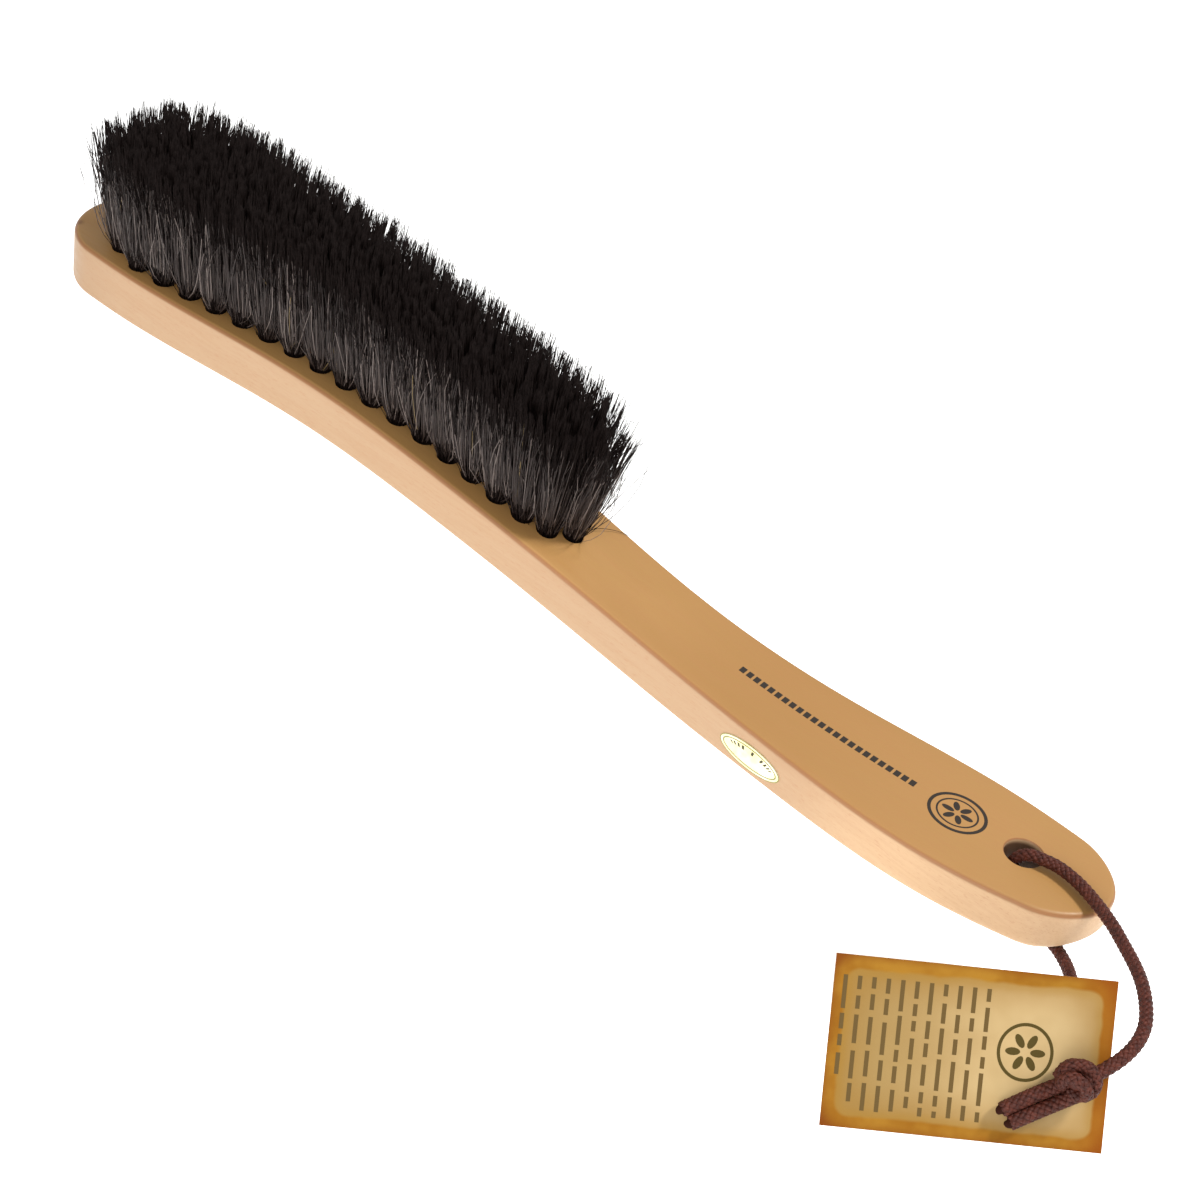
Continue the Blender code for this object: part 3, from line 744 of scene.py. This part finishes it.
def cut(target, cutter_parts):
    """Subtract the parts and keep the result as the target's mesh."""
    cutter = make_object("cutters", *join(cutter_parts), [WOOD])
    modifier = target.modifiers.new("cut", "BOOLEAN")
    modifier.operation = "DIFFERENCE"
    modifier.solver = "EXACT"
    modifier.object = cutter
    depsgraph = bpy.context.evaluated_depsgraph_get()
    mesh = bpy.data.meshes.new_from_object(target.evaluated_get(depsgraph))
    target.modifiers.clear()
    uncut = target.data
    target.data = mesh
    bpy.data.meshes.remove(uncut)
    bpy.data.objects.remove(cutter)


stock = build_stock()
tuft_cutters = [tuft_hole_cutter(x, y) for row, x in enumerate(ROW_X) for y in row_holes(row)]
cut(stock, [hang_hole_cutter()] + tuft_cutters)
for polygon in stock.data.polygons:
    polygon.use_smooth = True
stock.data.set_sharp_from_angle(angle=math.radians(40))
register(stock, "brush", replaces="brush_body")

# ---------------------------------------------------------------- bristles
PER_TUFT = 320
TUFT_R = 2.3
TRIM = 31.4  # mean hair length above the face
FIELD_EDGE = 2.6  # the tips reach this far past the outermost holes
SAMPLES = np.array([-2.0, 1.0, 4.5, 9.0, 15.0, 21.0, 26.0, 30.0]) / 30.0  # shares of a hair
CLUMP_AREA = 2.3  # square millimetres of field per clump of tips
HEAD_SHIFT = {0: 2.1, 1: 1.2, 2: 0.5}  # row: shift of its tips towards the handle
HAIR_SIDES = 3
# one loose hair on the wood past the last tuft: (station, y, height over the face)
LOOSE_HAIR = [
    (159.2, 2.4, 0.5), (161.0, 6.6, 0.9), (163.6, 10.2, 0.45),
    (166.2, 11.9, 0.2), (168.6, 12.6, 0.14),
]


def smoothstep(t):
    t = np.clip(t, 0.0, 1.0)
    return t * t * (3 - 2 * t)


def choose(first, second, if_first, if_second, otherwise):
    return np.where(first, if_first, np.where(second, if_second, otherwise))


def hair_tubes(points, radius):
    """Closed tapered tubes from points (hairs, samples, 3) and radius (hairs, samples).

    Returns verts, faces, and each face's hair and its segment along the hair.
    """
    hairs, samples, _ = points.shape
    sides = HAIR_SIDES
    axis = unit(points[:, -1] - points[:, 0])
    first = unit(np.cross(axis, unit(rng.normal(size=(hairs, 3)))))
    second = np.cross(axis, first)
    angle = 2 * np.pi * np.arange(sides) / sides
    rim = (
        first[:, None, :] * np.cos(angle)[None, :, None]
        + second[:, None, :] * np.sin(angle)[None, :, None]
    )
    verts = points[:, :, None, :] + rim[:, None, :, :] * radius[:, :, None, None]
    k = np.arange(sides)
    after = (k + 1) % sides
    ring = (np.arange(samples - 1) * sides)[:, None]
    quads = [ring + k, ring + after, ring + sides + after, ring + sides + k]
    quads = np.stack(quads, -1).reshape(-1, 4)
    base = (np.arange(hairs) * samples * sides)[:, None, None]
    walls = (quads[None] + base).reshape(-1, 4)
    roots = (k[::-1][None] + base[:, 0]).reshape(-1, sides)
    tips = ((samples - 1) * sides + k[None] + base[:, 0]).reshape(-1, sides)
    faces = walls.tolist() + roots.tolist() + tips.tolist()
    each = np.arange(hairs)
    owner = np.concatenate([np.repeat(each, len(quads)), each, each])
    wall_segments = np.tile(np.repeat(np.arange(samples - 1), sides), hairs)
    root_segments, tip_segments = np.zeros(hairs, int), np.full(hairs, samples - 2)
    segment = np.concatenate([wall_segments, root_segments, tip_segments])
    return verts.reshape(-1, 3), faces, owner, segment


def clump_centres(x0, x1, y0, y1):
    """Random points in a cell, pushed apart from their nearest neighbours."""
    margin, push_size, passes = 0.5, 0.35, 4
    count = max(3, int(round((x1 - x0) * (y1 - y0) / CLUMP_AREA)))
    x = rng.uniform(x0 - margin, x1 + margin, count)
    y = rng.uniform(y0, y1, count)
    each = np.arange(count)
    for _ in range(passes):
        dx, dy = x[:, None] - x, y[:, None] - y
        squared = dx**2 + dy**2 + np.eye(count) * 1e6
        nearest = np.argmin(squared, 1)
        push = push_size / np.sqrt(squared[each, nearest])
        x = np.clip(x + dx[each, nearest] * push, x0 - margin, x1 + margin)
        y = np.clip(y + dy[each, nearest] * push, y0, y1)
    return x, y


def grow_tuft(x, y, cell, head_shift, at_head, at_tail, at_low_y, at_high_y):
    """Hairs of the tuft at (x, y), whose tips fill the cell (x0, x1, y0, y1).

    The at_ flags say which outsides of the field the tuft is on. Returns the hairs'
    points, radii, material slots, and whether each is on the outside.
    """
    n = PER_TUFT
    x0, x1, y0, y1 = cell
    rho = np.sqrt(rng.random(n))
    theta = rng.random(n) * 2 * np.pi
    disc_x, disc_y = rho * np.cos(theta), rho * np.sin(theta)
    to_square = 1 / np.maximum(np.abs(np.cos(theta)), np.abs(np.sin(theta)))
    # neighbouring tufts cross into each other's cells, except at the outside of the field
    cell_x = disc_x * to_square * 1.15 + rng.normal(0, 0.30, n)
    cell_y = disc_y * to_square * 1.10 + rng.normal(0, 0.22, n)
    # hairs on the outside of the field are looser than the ones inside it
    outer = np.zeros(n, bool)
    if at_head:
        cell_x = np.maximum(cell_x, -1.05)
        outer |= cell_x < -0.3
    if at_tail:
        cell_x = np.minimum(cell_x, 1.0)
        outer |= cell_x > 0.3
    if at_low_y:
        cell_y = np.maximum(cell_y, -1.06)
    if at_high_y:
        cell_y = np.minimum(cell_y, 1.06)
    if at_low_y:
        outer |= cell_y < -0.45
    if at_high_y:
        outer |= cell_y > 0.45
    flank = outer & (at_low_y | at_high_y) & (np.abs(cell_y) > 0.45)
    root_x, root_y = x + disc_x * TUFT_R * 0.97, y + disc_y * TUFT_R * 0.97
    tip_x = (x0 + x1) / 2 + cell_x * (x1 - x0) / 2 + head_shift
    tip_y = (y0 + y1) / 2 + cell_y * (y1 - y0) / 2

    # each tip is pulled towards its nearest clump, which has its own lean and lift
    clump_x, clump_y = clump_centres(*cell)
    clumps = len(clump_x)
    squared = (tip_x[:, None] - clump_x) ** 2 + (tip_y[:, None] - clump_y) ** 2
    own = np.argmin(squared, 1)
    lean_x, lean_y = rng.normal(0, 0.6, clumps), rng.normal(0, 0.5, clumps)
    lift = rng.normal(0, 0.38, clumps)
    pull = np.clip(rng.normal(0.55, 0.22, n), 0.0, 0.92)
    from_clump = np.minimum(1.6, np.sqrt(squared[np.arange(n), own]))
    height = TRIM + lift[own] + rng.normal(0, 0.32, n) - 0.6 * from_clump

    # shares of stray and wild hairs on the flanks, elsewhere outside, and inside
    roll = rng.random(n)
    stray = roll < choose(flank, outer, 0.50, 0.30, 0.06)
    wild = roll < choose(flank, outer, 0.11, 0.045, 0.006)
    height = np.where(stray, height + rng.uniform(-6.0, 0.3, n), height)
    height = np.where(wild & flank, height - rng.uniform(0.5, 5.0, n), height)

    # from the hole's own line at the root, over to the tip's line higher up
    t = SAMPLES[None, :]
    reach = t * height[:, None]
    spread = (1 - np.exp(-np.maximum(reach, 0) / 4.4))[:, :, None]
    low = face_point(root_x, root_y)[:, None, :] + tuft_dir(x, y) * reach[:, :, None]
    gather = smoothstep((t - 0.66) / 0.34) * pull[:, None]
    late = smoothstep((t - 0.55) / 0.45)
    top_x = tip_x[:, None] * (1 - gather) + clump_x[own][:, None] * gather
    top_x = top_x + lean_x[own][:, None] * late
    top_y = tip_y[:, None] * (1 - gather) + clump_y[own][:, None] * gather
    top_y = top_y + lean_y[own][:, None] * late
    limit = field_edge_y(top_x) * 1.35
    direction = tuft_dir(top_x, np.clip(top_y, -limit, limit))
    top = face_point(top_x, top_y) + direction * reach[:, :, None]
    points = low * (1 - spread) + top * spread

    # each hair's own waver, wider for the strays: a bow along it and a sway of its tip
    bow_size = choose(wild, stray, np.where(flank, 2.3, 1.7), 1.0, 0.30)
    sway_size = choose(
        wild, stray,
        1.8 if at_tail else np.where(flank, 4.2, 2.6),
        np.where(flank, 2.7, 1.7),
        np.where(flank, 0.8, 0.28),
    )
    bow = rng.normal(size=(n, 1, 3)) * bow_size[:, None, None] * (1, 0.8, 0.1)
    sway = rng.normal(size=(n, 1, 3)) * sway_size[:, None, None] * (1, 0.45, 0.1)
    up = np.clip(t, 0, 1)[:, :, None]
    points = points + bow * np.sin(np.pi * up**0.85) + sway * up**1.6
    taper = np.interp(SAMPLES, [0, 0.7, 0.9, 1.0], [1.0, 0.95, 0.80, 0.45])
    radius = rng.uniform(0.072, 0.108, n)[:, None] * taper[None, :]
    kind = rng.random(n)
    # grey hairs: a small share of real grey hairs everywhere, raised on the flanks and most among
    # their stray and wild hairs as painted highlight on the lit outside hairs
    grey_highlight_share = np.where(flank, choose(wild, stray, 0.45, 0.28, 0.11), 0.08)
    slots = choose(kind < 0.006, kind < grey_highlight_share, STRAW, GREY_AND_HIGHLIGHT, BLACK)
    return points, radius, slots, outer


def build_row(row):
    x = ROW_X[row]
    holes = row_holes(row)
    last = row + 1 == len(ROW_X)
    x0 = (ROW_X[row - 1] + x) / 2 if row else x - 3.4
    x1 = (ROW_X[row + 1] + x) / 2 if not last else x + 2.2
    between = [(a + b) / 2 for a, b in zip(holes, holes[1:])]
    bounds = [holes[0] - FIELD_EDGE] + between + [holes[-1] + FIELD_EDGE]
    tufts = [
        grow_tuft(
            x, y, (x0, x1, bounds[j], bounds[j + 1]), HEAD_SHIFT.get(row, 0.0),
            at_head=row == 0, at_tail=last, at_low_y=j == 0, at_high_y=j == len(holes) - 1,
        )
        for j, y in enumerate(holes)
    ]
    points, radius, slots, outer = (np.concatenate(column) for column in zip(*tufts))
    verts, faces, owner, segment = hair_tubes(points, radius)
    # painted shade: the dark material at the root, and from each hair's own height up to its tip,
    # starting lower on the hairs inside the field than on the outside ones
    count = len(slots)
    dark_from = np.where(outer, rng.integers(4, 7, count), rng.integers(2, 5, count))
    dark_to = rng.integers(1, 3, count)
    dark = (segment >= dark_from[owner]) | (segment < dark_to[owner])
    index = np.where(dark, DARK_SHADE, slots[owner])
    if last:
        loose = catmull([face_point(a, b, -height) for a, b, height in LOOSE_HAIR], 1.0)
        hair = sweep(loose, *side_axes(loose), 0.08, 0.08, sides=4)
        index = np.concatenate([index, np.full(len(hair[1]), DARK_SHADE)])
        verts, faces = join([(verts, faces), hair])
    bristles = make_object(f"bristles_{row + 1:02d}", verts, faces, HAIR, index=index)
    register(bristles, "brush", replaces=f"tuft_row_{row + 1:02d}")


for row in range(len(ROW_X)):
    build_row(row)

# ---------------------------------------------------------------- oval label
LABEL_X = 222.5
LABEL_DEPTH = 6.3  # of its middle under the face
LABEL_A = 8.1  # radii along the stock and across its side
LABEL_B = 3.1


def on_label(a, b, off):
    """a along the stock and b up its -Y side from the label's middle, off out of the wood."""
    x = LABEL_X + a
    slope = half_width_slope(x)
    out = np.array([-slope, -1.0, 0.0]) / math.hypot(1.0, slope)
    return face_point(x, -outline_y(x), LABEL_DEPTH - b) + out * off


def label_disc(low, high, rings=5, steps=64):
    verts, faces = [], []
    for order, off in ((1, high), (-1, low)):
        base = len(verts)
        verts.append(on_label(0, 0, off))
        for r in range(1, rings + 1):
            for k in range(steps):
                t = 2 * math.pi * k / steps
                a = LABEL_A * math.cos(t) * r / rings
                verts.append(on_label(a, LABEL_B * math.sin(t) * r / rings, off))
        for k in range(steps):
            after = (k + 1) % steps
            faces.append([base, base + 1 + k, base + 1 + after][::order])
            for r in range(rings - 1):
                inner = base + 1 + r * steps
                outer = inner + steps
                quad = [inner + k, outer + k, outer + after, inner + after]
                faces.append(quad[::order])
    half = len(verts) // 2
    rim = 1 + (rings - 1) * steps
    for k in range(steps):
        after = (k + 1) % steps
        faces.append([rim + k, half + rim + k, half + rim + after, rim + after])
    return np.array(verts), faces


def label_band(outer, inner, high, steps=72, **arc):
    """A band whose outer and inner edges are shares of the label's radii."""
    outer = (LABEL_A * outer[0], LABEL_B * outer[1])
    inner = (LABEL_A * inner[0], LABEL_B * inner[1])
    return ellipse_band(on_label, outer, inner, 0.16, high, steps, **arc)


label = make_object("label_foil", *label_disc(0.03, 0.17), [FOIL], sharp=40, outward=True)
register(label, "brush", replaces="oval_label")
bands = [
    # the outer band is a painted shadow along the label's edge; the inner band is the printed
    # ring
    label_band((1.0, 1.0), (0.975, 0.945), high=0.185),
    label_band((0.90, 0.80), (0.865, 0.715), high=0.19),
]
ticks = []
for k in range(11):  # a row of ticks inside the ring, with two gaps
    start = 0.055 + k * 0.0355
    if k not in (4, 6):
        ticks.append(
            label_band((0.78, 0.62), (0.68, 0.30), high=0.185, steps=300,
                       start=start, end=start + 0.017)
        )
verts, faces, index = join_slots(bands, ticks)
label_lines = make_object(
    "label_lines", verts, faces, [FOIL_LINE_AND_EDGE_SHADOW, FOIL_MARK], smooth=False, index=index, outward=True
)
register(label_lines, "brush")

# ---------------------------------------------------------------- print on the handle
PRINT_LOW, PRINT_HIGH = -0.04, 0.03
DASH_START, DASH_END, DASHES = 207.5, 254.3, 24
DEVICE = (264.6, 0.2)  # station and y of the round device


def on_face(a, b, off):
    return face_point(a, b, -off)


def device_ring(radius_x, radius_y, width):
    inner = (radius_x - width, radius_y - width)
    return ellipse_band(
        on_face, (radius_x, radius_y), inner, PRINT_LOW, PRINT_HIGH, steps=48, centre=DEVICE
    )


def build_print():
    """A dashed line along the handle, then two rings round six petals."""
    parts = []
    pitch = (DASH_END - DASH_START) / DASHES
    for k in range(DASHES):
        start = DASH_START + k * pitch
        dash = rect(start + 0.15, 0.1, start + pitch - 0.45, 1.95)
        parts.append(plate(on_face, dash, PRINT_LOW, PRINT_HIGH))
    parts.append(device_ring(6.6, 6.0, width=0.75))
    parts.append(device_ring(4.7, 4.3, width=0.4))
    parts += petals(on_face, DEVICE, 2.25, 1.45, PRINT_LOW, PRINT_HIGH, squash=0.92)
    obj = make_object("handle_print", *join(parts), [INK], smooth=False, outward=True)
    register(obj, "brush")


build_print()

# ---------------------------------------------------------------- place of the knot and tag
KNOT = np.array((105.5, -48.5, 22.2))
TAG_HOLE = np.array((104.1, -45.5, 19.5))
# the tag's own axes: U along its width, V along its height, N out of its face
TAG_N = unit((0.33362, -0.69408, 0.63792))
U_GUIDE = (0.7625, 0.5967, 0.2500)  # U before the twist about N
TAG_TWIST = math.radians(-5.8)
level_u = unit(np.array(U_GUIDE) - TAG_N * np.dot(U_GUIDE, TAG_N))
level_v = np.cross(TAG_N, level_u)
TAG_U = level_u * math.cos(TAG_TWIST) + level_v * math.sin(TAG_TWIST)
TAG_V = level_v * math.cos(TAG_TWIST) - level_u * math.sin(TAG_TWIST)
TAG_MID = TAG_HOLE - TAG_U * TAG_HOLE_U - TAG_V * TAG_HOLE_V

# ---------------------------------------------------------------- cord
CORD_R = 1.3
KNOT_CORD_R = 1.2
TAIL_CORD_R = 1.38
# from the knot over the face, down through the hang hole, back under and through the tag
LOOP = [
    KNOT + 1.9 * TAG_U + 0.5 * TAG_V,
    (107.8, -45.2, 24.1), (109.0, -42.4, 25.6), (109.7, -39.2, 26.6), (109.8, -35.6, 27.1),
    (109.1, -31.6, 27.2), (107.3, -27.4, 27.1), (104.8, -22.9, 26.5), (101.6, -18.4, 25.4),
    (97.2, -13.4, 23.9), (93.2, -9.2, 22.6), (88.6, -5.2, 21.1), (83.4, -2.3, 20.2),
    (78.4, -1.0, 19.55), (74.9, -1.2, 19.0), (72.1, -1.5, 18.2), (70.3, -1.7, 16.4),
    (69.6, -1.5, 13.0), (69.8, -1.0, 9.0), (71.6, -0.5, 5.7), (74.6, -0.8, 4.4),
    (78.0, -1.8, 4.0), (83.0, -3.5, 4.2), (87.1, -5.8, 5.2), (91.8, -11.4, 7.2),
    (96.0, -19.8, 9.3), (99.4, -29.0, 10.9), (101.3, -37.0, 13.2),
    TAG_HOLE - 4.6 * TAG_N,
    TAG_HOLE - 0.5 * TAG_N,
    KNOT - 2.1 * TAG_N,
]
# the knot's turns about its middle: (right, up, out of the tag's face)
KNOT_TURNS = [
    # the outer turn, from the left over the top and round the right side
    [(-3.3, 0.5, -1.0), (-2.95, 1.6, 0.1), (-2.0, 2.5, 0.8), (-0.5, 2.9, 1.0),
     (1.05, 2.65, 1.1), (2.35, 1.6, 1.0), (2.95, 0.0, 0.8), (2.5, -1.7, 0.5),
     (1.2, -2.7, 0.1), (-0.4, -2.85, -0.4), (-1.7, -2.2, -1.1)],
    # the band across the front, upper left to lower right
    [(-3.15, -1.0, -0.7), (-3.05, 0.2, 0.8), (-2.2, 1.0, 1.9), (-0.9, 0.65, 2.55),
     (0.35, -0.5, 2.55), (1.05, -1.75, 1.8), (1.0, -2.7, 0.5), (0.5, -2.7, -0.9)],
    # the turn inside it, deep between the two
    [(0.6, 1.9, -0.6), (1.35, 0.9, 0.5), (1.5, -0.3, 0.8), (1.3, -1.4, 0.3), (0.5, -2.0, -0.8)],
    # the back
    [(-2.4, 1.6, -1.5), (-0.5, 2.3, -1.9), (1.5, 1.4, -2.0), (2.2, -0.4, -1.9),
     (1.2, -1.9, -1.9), (-0.8, -2.0, -1.7)],
]
KNOT_RIGHT = TAG_U * 0.9949 + TAG_V * 0.1011
KNOT_UP = TAG_V * 0.9949 - TAG_U * 0.1011


def braid(path, radius):
    """Two families of flat strands passing over and under each other, round a core."""
    per_side = 6
    points, travelled = resample(path, 0.2)
    axis_a, axis_b = side_axes(points)
    mean = radius * 0.80
    wave = radius * 0.115
    omega = 0.80 / mean  # turn per millimetre
    parts = []
    for sign in (1, -1):
        for k in range(per_side):
            phi = sign * omega * travelled + 2 * np.pi * k / per_side
            distance = mean + sign * wave * np.cos(per_side * omega * travelled)
            out = axis_a * np.cos(phi)[:, None] + axis_b * np.sin(phi)[:, None]
            strand = points + out * distance[:, None]
            along = np.gradient(strand, axis=0)
            along /= np.linalg.norm(along, axis=1)[:, None]
            side = np.cross(along, out)
            side /= np.linalg.norm(side, axis=1)[:, None]
            up = np.cross(side, along)
            parts.append(sweep(strand, up, -side, radius * 0.165, radius * 0.34, sides=6))
    parts.append(sweep(points, axis_a, axis_b, radius * 0.74, radius * 0.74, sides=8))
    return join(parts)


def knot_core():
    """A small ball that fills the knot."""
    sides = 16
    polar = np.linspace(0, np.pi, 9)[1:-1]
    verts, faces = [], []
    for t in polar:
        for k in range(sides):
            turn = 2 * np.pi * k / sides
            u = 2.2 * math.sin(t) * math.cos(turn)
            v = 2.1 * math.sin(t) * math.sin(turn)
            verts.append(KNOT + TAG_U * u + TAG_V * v + TAG_N * (1.3 * math.cos(t)))
    for i in range(len(polar) - 1):
        this, following = i * sides, (i + 1) * sides
        for k in range(sides):
            after = (k + 1) % sides
            faces.append([this + k, following + k, following + after, this + after])
    faces.append(list(range(sides)))
    faces.append([(len(polar) - 1) * sides + k for k in range(sides - 1, -1, -1)])
    return np.array(verts), faces


def cord_tail(side, length):
    """A free end of the cord, and its melted tip."""
    along = (-0.863 * TAG_U - 0.504 * TAG_V) / math.hypot(0.863, 0.504)
    across = np.cross(TAG_N, along)
    start = KNOT + along * 1.2 + across * (1.2 + side) - TAG_N * 0.9
    bow = across * (0.10 if side > 0 else 0.0)
    path = catmull([
        start,
        start + along * 4 - TAG_N * 0.8 + bow,
        start + along * 8 - TAG_N * 1.2 + bow,
        start + along * (length - 1.2) - TAG_N * 1.25,
    ], 0.5)
    end = path[-1]
    tip = [end - along * 0.6, end + along * 0.5, end + along * 1.15 - across * side * 0.30]
    tip, travelled = resample(catmull(tip, 0.2), 0.2)
    radius = np.interp(travelled / travelled[-1], [0, 0.3, 0.75, 1.0], [1.05, 1.12, 0.72, 0.28])
    melted = sweep(tip, *side_axes(tip), radius, radius * 0.86, sides=12)
    return braid(path, TAIL_CORD_R), melted


def build_cord():
    parts = [braid(catmull(LOOP, 0.8), CORD_R)]
    for turn in KNOT_TURNS:
        points = [KNOT + KNOT_RIGHT * r + KNOT_UP * u + TAG_N * out for r, u, out in turn]
        parts.append(braid(catmull(points, 0.4), KNOT_CORD_R))
    parts.append(knot_core())
    tails, tips = zip(cord_tail(-1.42, length=14.6), cord_tail(1.42, length=14.2))
    verts, faces, index = join_slots(parts + list(tails), tips)
    cord = make_object("cord_braid", verts, faces, [CORD, CORD_TIP], index=index)
    register(cord, "cord", replaces="hang_cord")


build_cord()

# ---------------------------------------------------------------- tag
TAG_PLACE = placement(Vector(TAG_MID) * MM, TAG_U, TAG_V, TAG_N)
INK_LOW, INK_HIGH = TAG_T / 2 - 0.03, TAG_T / 2 + 0.02
EMBLEM = (10.2, 1.2)


def on_tag(a, b, off):
    """Point of the slightly curled card, a along U, b along V and off along N."""
    curl = TAG_CURL * (b / (TAG_H / 2)) ** 2 - TAG_CURL / 2
    return TAG_MID + TAG_U * a + TAG_V * b + TAG_N * (curl + off)


def card_outline(steps):
    """Where rays from the hole meet the card's edge, with a point on each corner."""
    w, h = TAG_W / 2, TAG_H / 2

    def reach(direction, half, centre):
        if abs(direction) <= 1e-9:
            return 1e9
        return (math.copysign(half, direction) - centre) / direction

    outline = []
    for k in range(steps):
        t = 2 * math.pi * k / steps
        du, dv = math.cos(t), math.sin(t)
        distance = min(reach(du, w, TAG_HOLE_U), reach(dv, h, TAG_HOLE_V))
        outline.append((TAG_HOLE_U + distance * du, TAG_HOLE_V + distance * dv))
    for u, v in ((w, h), (-w, h), (-w, -h), (w, -h)):
        k = min(range(steps), key=lambda q: (outline[q][0] - u) ** 2 + (outline[q][1] - v) ** 2)
        outline[k] = (u, v)
    return outline


def card_mesh():
    """The card as two grids from the round hole to the edge, closed at both."""
    steps, rings = 96, 14
    outline = card_outline(steps)
    verts, faces = [], []
    for off in (TAG_T / 2, -TAG_T / 2):
        for r in range(rings + 1):
            share = (r / rings) ** 1.3
            for k, (edge_a, edge_b) in enumerate(outline):
                t = 2 * math.pi * k / steps
                rim_a = TAG_HOLE_U + TAG_HOLE_R * math.cos(t) * (1 - share)
                rim_b = TAG_HOLE_V + TAG_HOLE_R * math.sin(t) * (1 - share)
                a = rim_a + (edge_a - TAG_HOLE_U) * share
                b = rim_b + (edge_b - TAG_HOLE_V) * share
                verts.append(on_tag(a, b, off))
    half = (rings + 1) * steps
    for base, order in ((0, 1), (half, -1)):
        for r in range(rings):
            inner = base + r * steps
            outer = inner + steps
            for k in range(steps):
                after = (k + 1) % steps
                quad = [inner + k, outer + k, outer + after, inner + after]
                faces.append(quad[::order])
    edge = rings * steps
    for k in range(steps):
        after = (k + 1) % steps
        faces.append([k, after, half + after, half + k])
        faces.append([edge + k, half + edge + k, half + edge + after, edge + after])
    return np.array(verts), faces


def tag_lines():
    """Eleven broken lines running along V, the last one shorter."""
    line_rng = np.random.default_rng(11)
    first, pitch, half_line = 2.6, 2.64, 0.40
    parts = []
    for k in range(11):
        u = first - k * pitch
        end = -12.4 if k < 10 else -6.2
        v = 12.1
        while v > end + 1.0:
            length = min(line_rng.uniform(1.8, 6.2), v - end)
            dash = rect(u - half_line, v - length, u + half_line, v)
            parts.append(plate(on_tag, dash, INK_LOW, INK_HIGH))
            v -= length + line_rng.uniform(0.8, 1.4)
    return join(parts)


def tag_emblem():
    """A ring round six petals."""
    outer, width = (5.2, 5.4), 0.6
    inner = (outer[0] - width, outer[1] - width)
    ring = ellipse_band(on_tag, outer, inner, INK_LOW, INK_HIGH, steps=48, centre=EMBLEM)
    return join([ring] + petals(on_tag, EMBLEM, 2.3, 1.4, INK_LOW, INK_HIGH))


card = make_object("tag_card", *card_mesh(), [CARD], sharp=40, place=TAG_PLACE, outward=True)
register(card, "tag", replaces="hang_tag")
for name, shape, material in (
    ("tag_lines", tag_lines(), CARD_INK),
    ("tag_emblem", tag_emblem(), CARD_EMBLEM),
):
    printed = make_object(name, *shape, [material], smooth=False, place=TAG_PLACE, outward=True)
    register(printed, "tag")

# ---------------------------------------------------------------- stage, metres from here on
FLOOR_Z = -0.0265  # low enough for the tag to swing clear of it
FLOOR_HALF = 12
scene = bpy.context.scene


def build_floor():
    g = Graph("floor_pale", srgb(244, 244, 243), roughness=0.9, specular=0.05)
    g.set("Emission Color", (1.0, 1.0, 1.0, 1.0))
    g.set("Emission Strength", 0.46)
    mesh = bpy.data.meshes.new("floor")
    corners = rect(-FLOOR_HALF, -FLOOR_HALF, FLOOR_HALF, FLOOR_HALF)
    mesh.from_pydata([(x, y, FLOOR_Z) for x, y in corners], [], [(0, 1, 2, 3)])
    mesh.materials.append(g.material)
    floor = bpy.data.objects.new("floor", mesh)
    scene.collection.objects.link(floor)


def build_world():
    """White to the camera, and a little dimmer as a light."""
    world = bpy.data.worlds.new("studio")
    scene.world = world
    world.use_nodes = True
    nodes, links = world.node_tree.nodes, world.node_tree.links
    background = nodes["Background"]
    background.inputs["Color"].default_value = (1.0, 1.0, 1.0, 1.0)
    rays = nodes.new("ShaderNodeLightPath")
    level = nodes.new("ShaderNodeMapRange")
    level.inputs["To Min"].default_value = 0.64
    level.inputs["To Max"].default_value = 1.0
    links.new(rays.outputs["Is Camera Ray"], level.inputs["Value"])
    links.new(level.outputs["Result"], background.inputs["Strength"])


def disk_light(name, position, target, size, power):
    data = bpy.data.lights.new(name, "AREA")
    data.shape = "DISK"
    data.size = size
    data.energy = power
    light = bpy.data.objects.new(name, data)
    scene.collection.objects.link(light)
    light.location = position
    light.rotation_mode = "QUATERNION"
    aim = Vector(target) - Vector(position)
    light.rotation_quaternion = aim.to_track_quat("-Z", "Y")


def build_camera():
    data = bpy.data.cameras.new("camera")
    data.type = "PERSP"
    data.sensor_width = 36.0
    data.lens = 58.49
    data.clip_start = 0.01
    data.clip_end = 50.0
    camera = bpy.data.objects.new("camera", data)
    scene.collection.objects.link(camera)
    right = unit((0.76234, 0.59671, 0.25056))
    up = np.array((-0.55456, 0.40273, 0.7282))
    up = unit(up - right * np.dot(up, right))
    position = Vector((0.108975, -0.309630, 0.288346))
    camera.matrix_world = placement(position, right, up, np.cross(right, up))
    scene.camera = camera


build_floor()
scene.view_settings.view_transform = "Standard"
scene.view_settings.look = "None"
build_world()
disk_light("key", position=(0.42, 0.30, 1.25), target=(0.0, 0.0, 0.02), size=0.24, power=19.5)
disk_light("fill", position=(0.30, -1.32, 0.42), target=(0.0, 0.0, 0.02), size=0.9, power=8.2)
disk_light("side", position=(-0.02, -0.42, 0.32), target=(0.07, 0.0, 0.01), size=0.2, power=0.75)
build_camera()

bpy.context.view_layer.update()
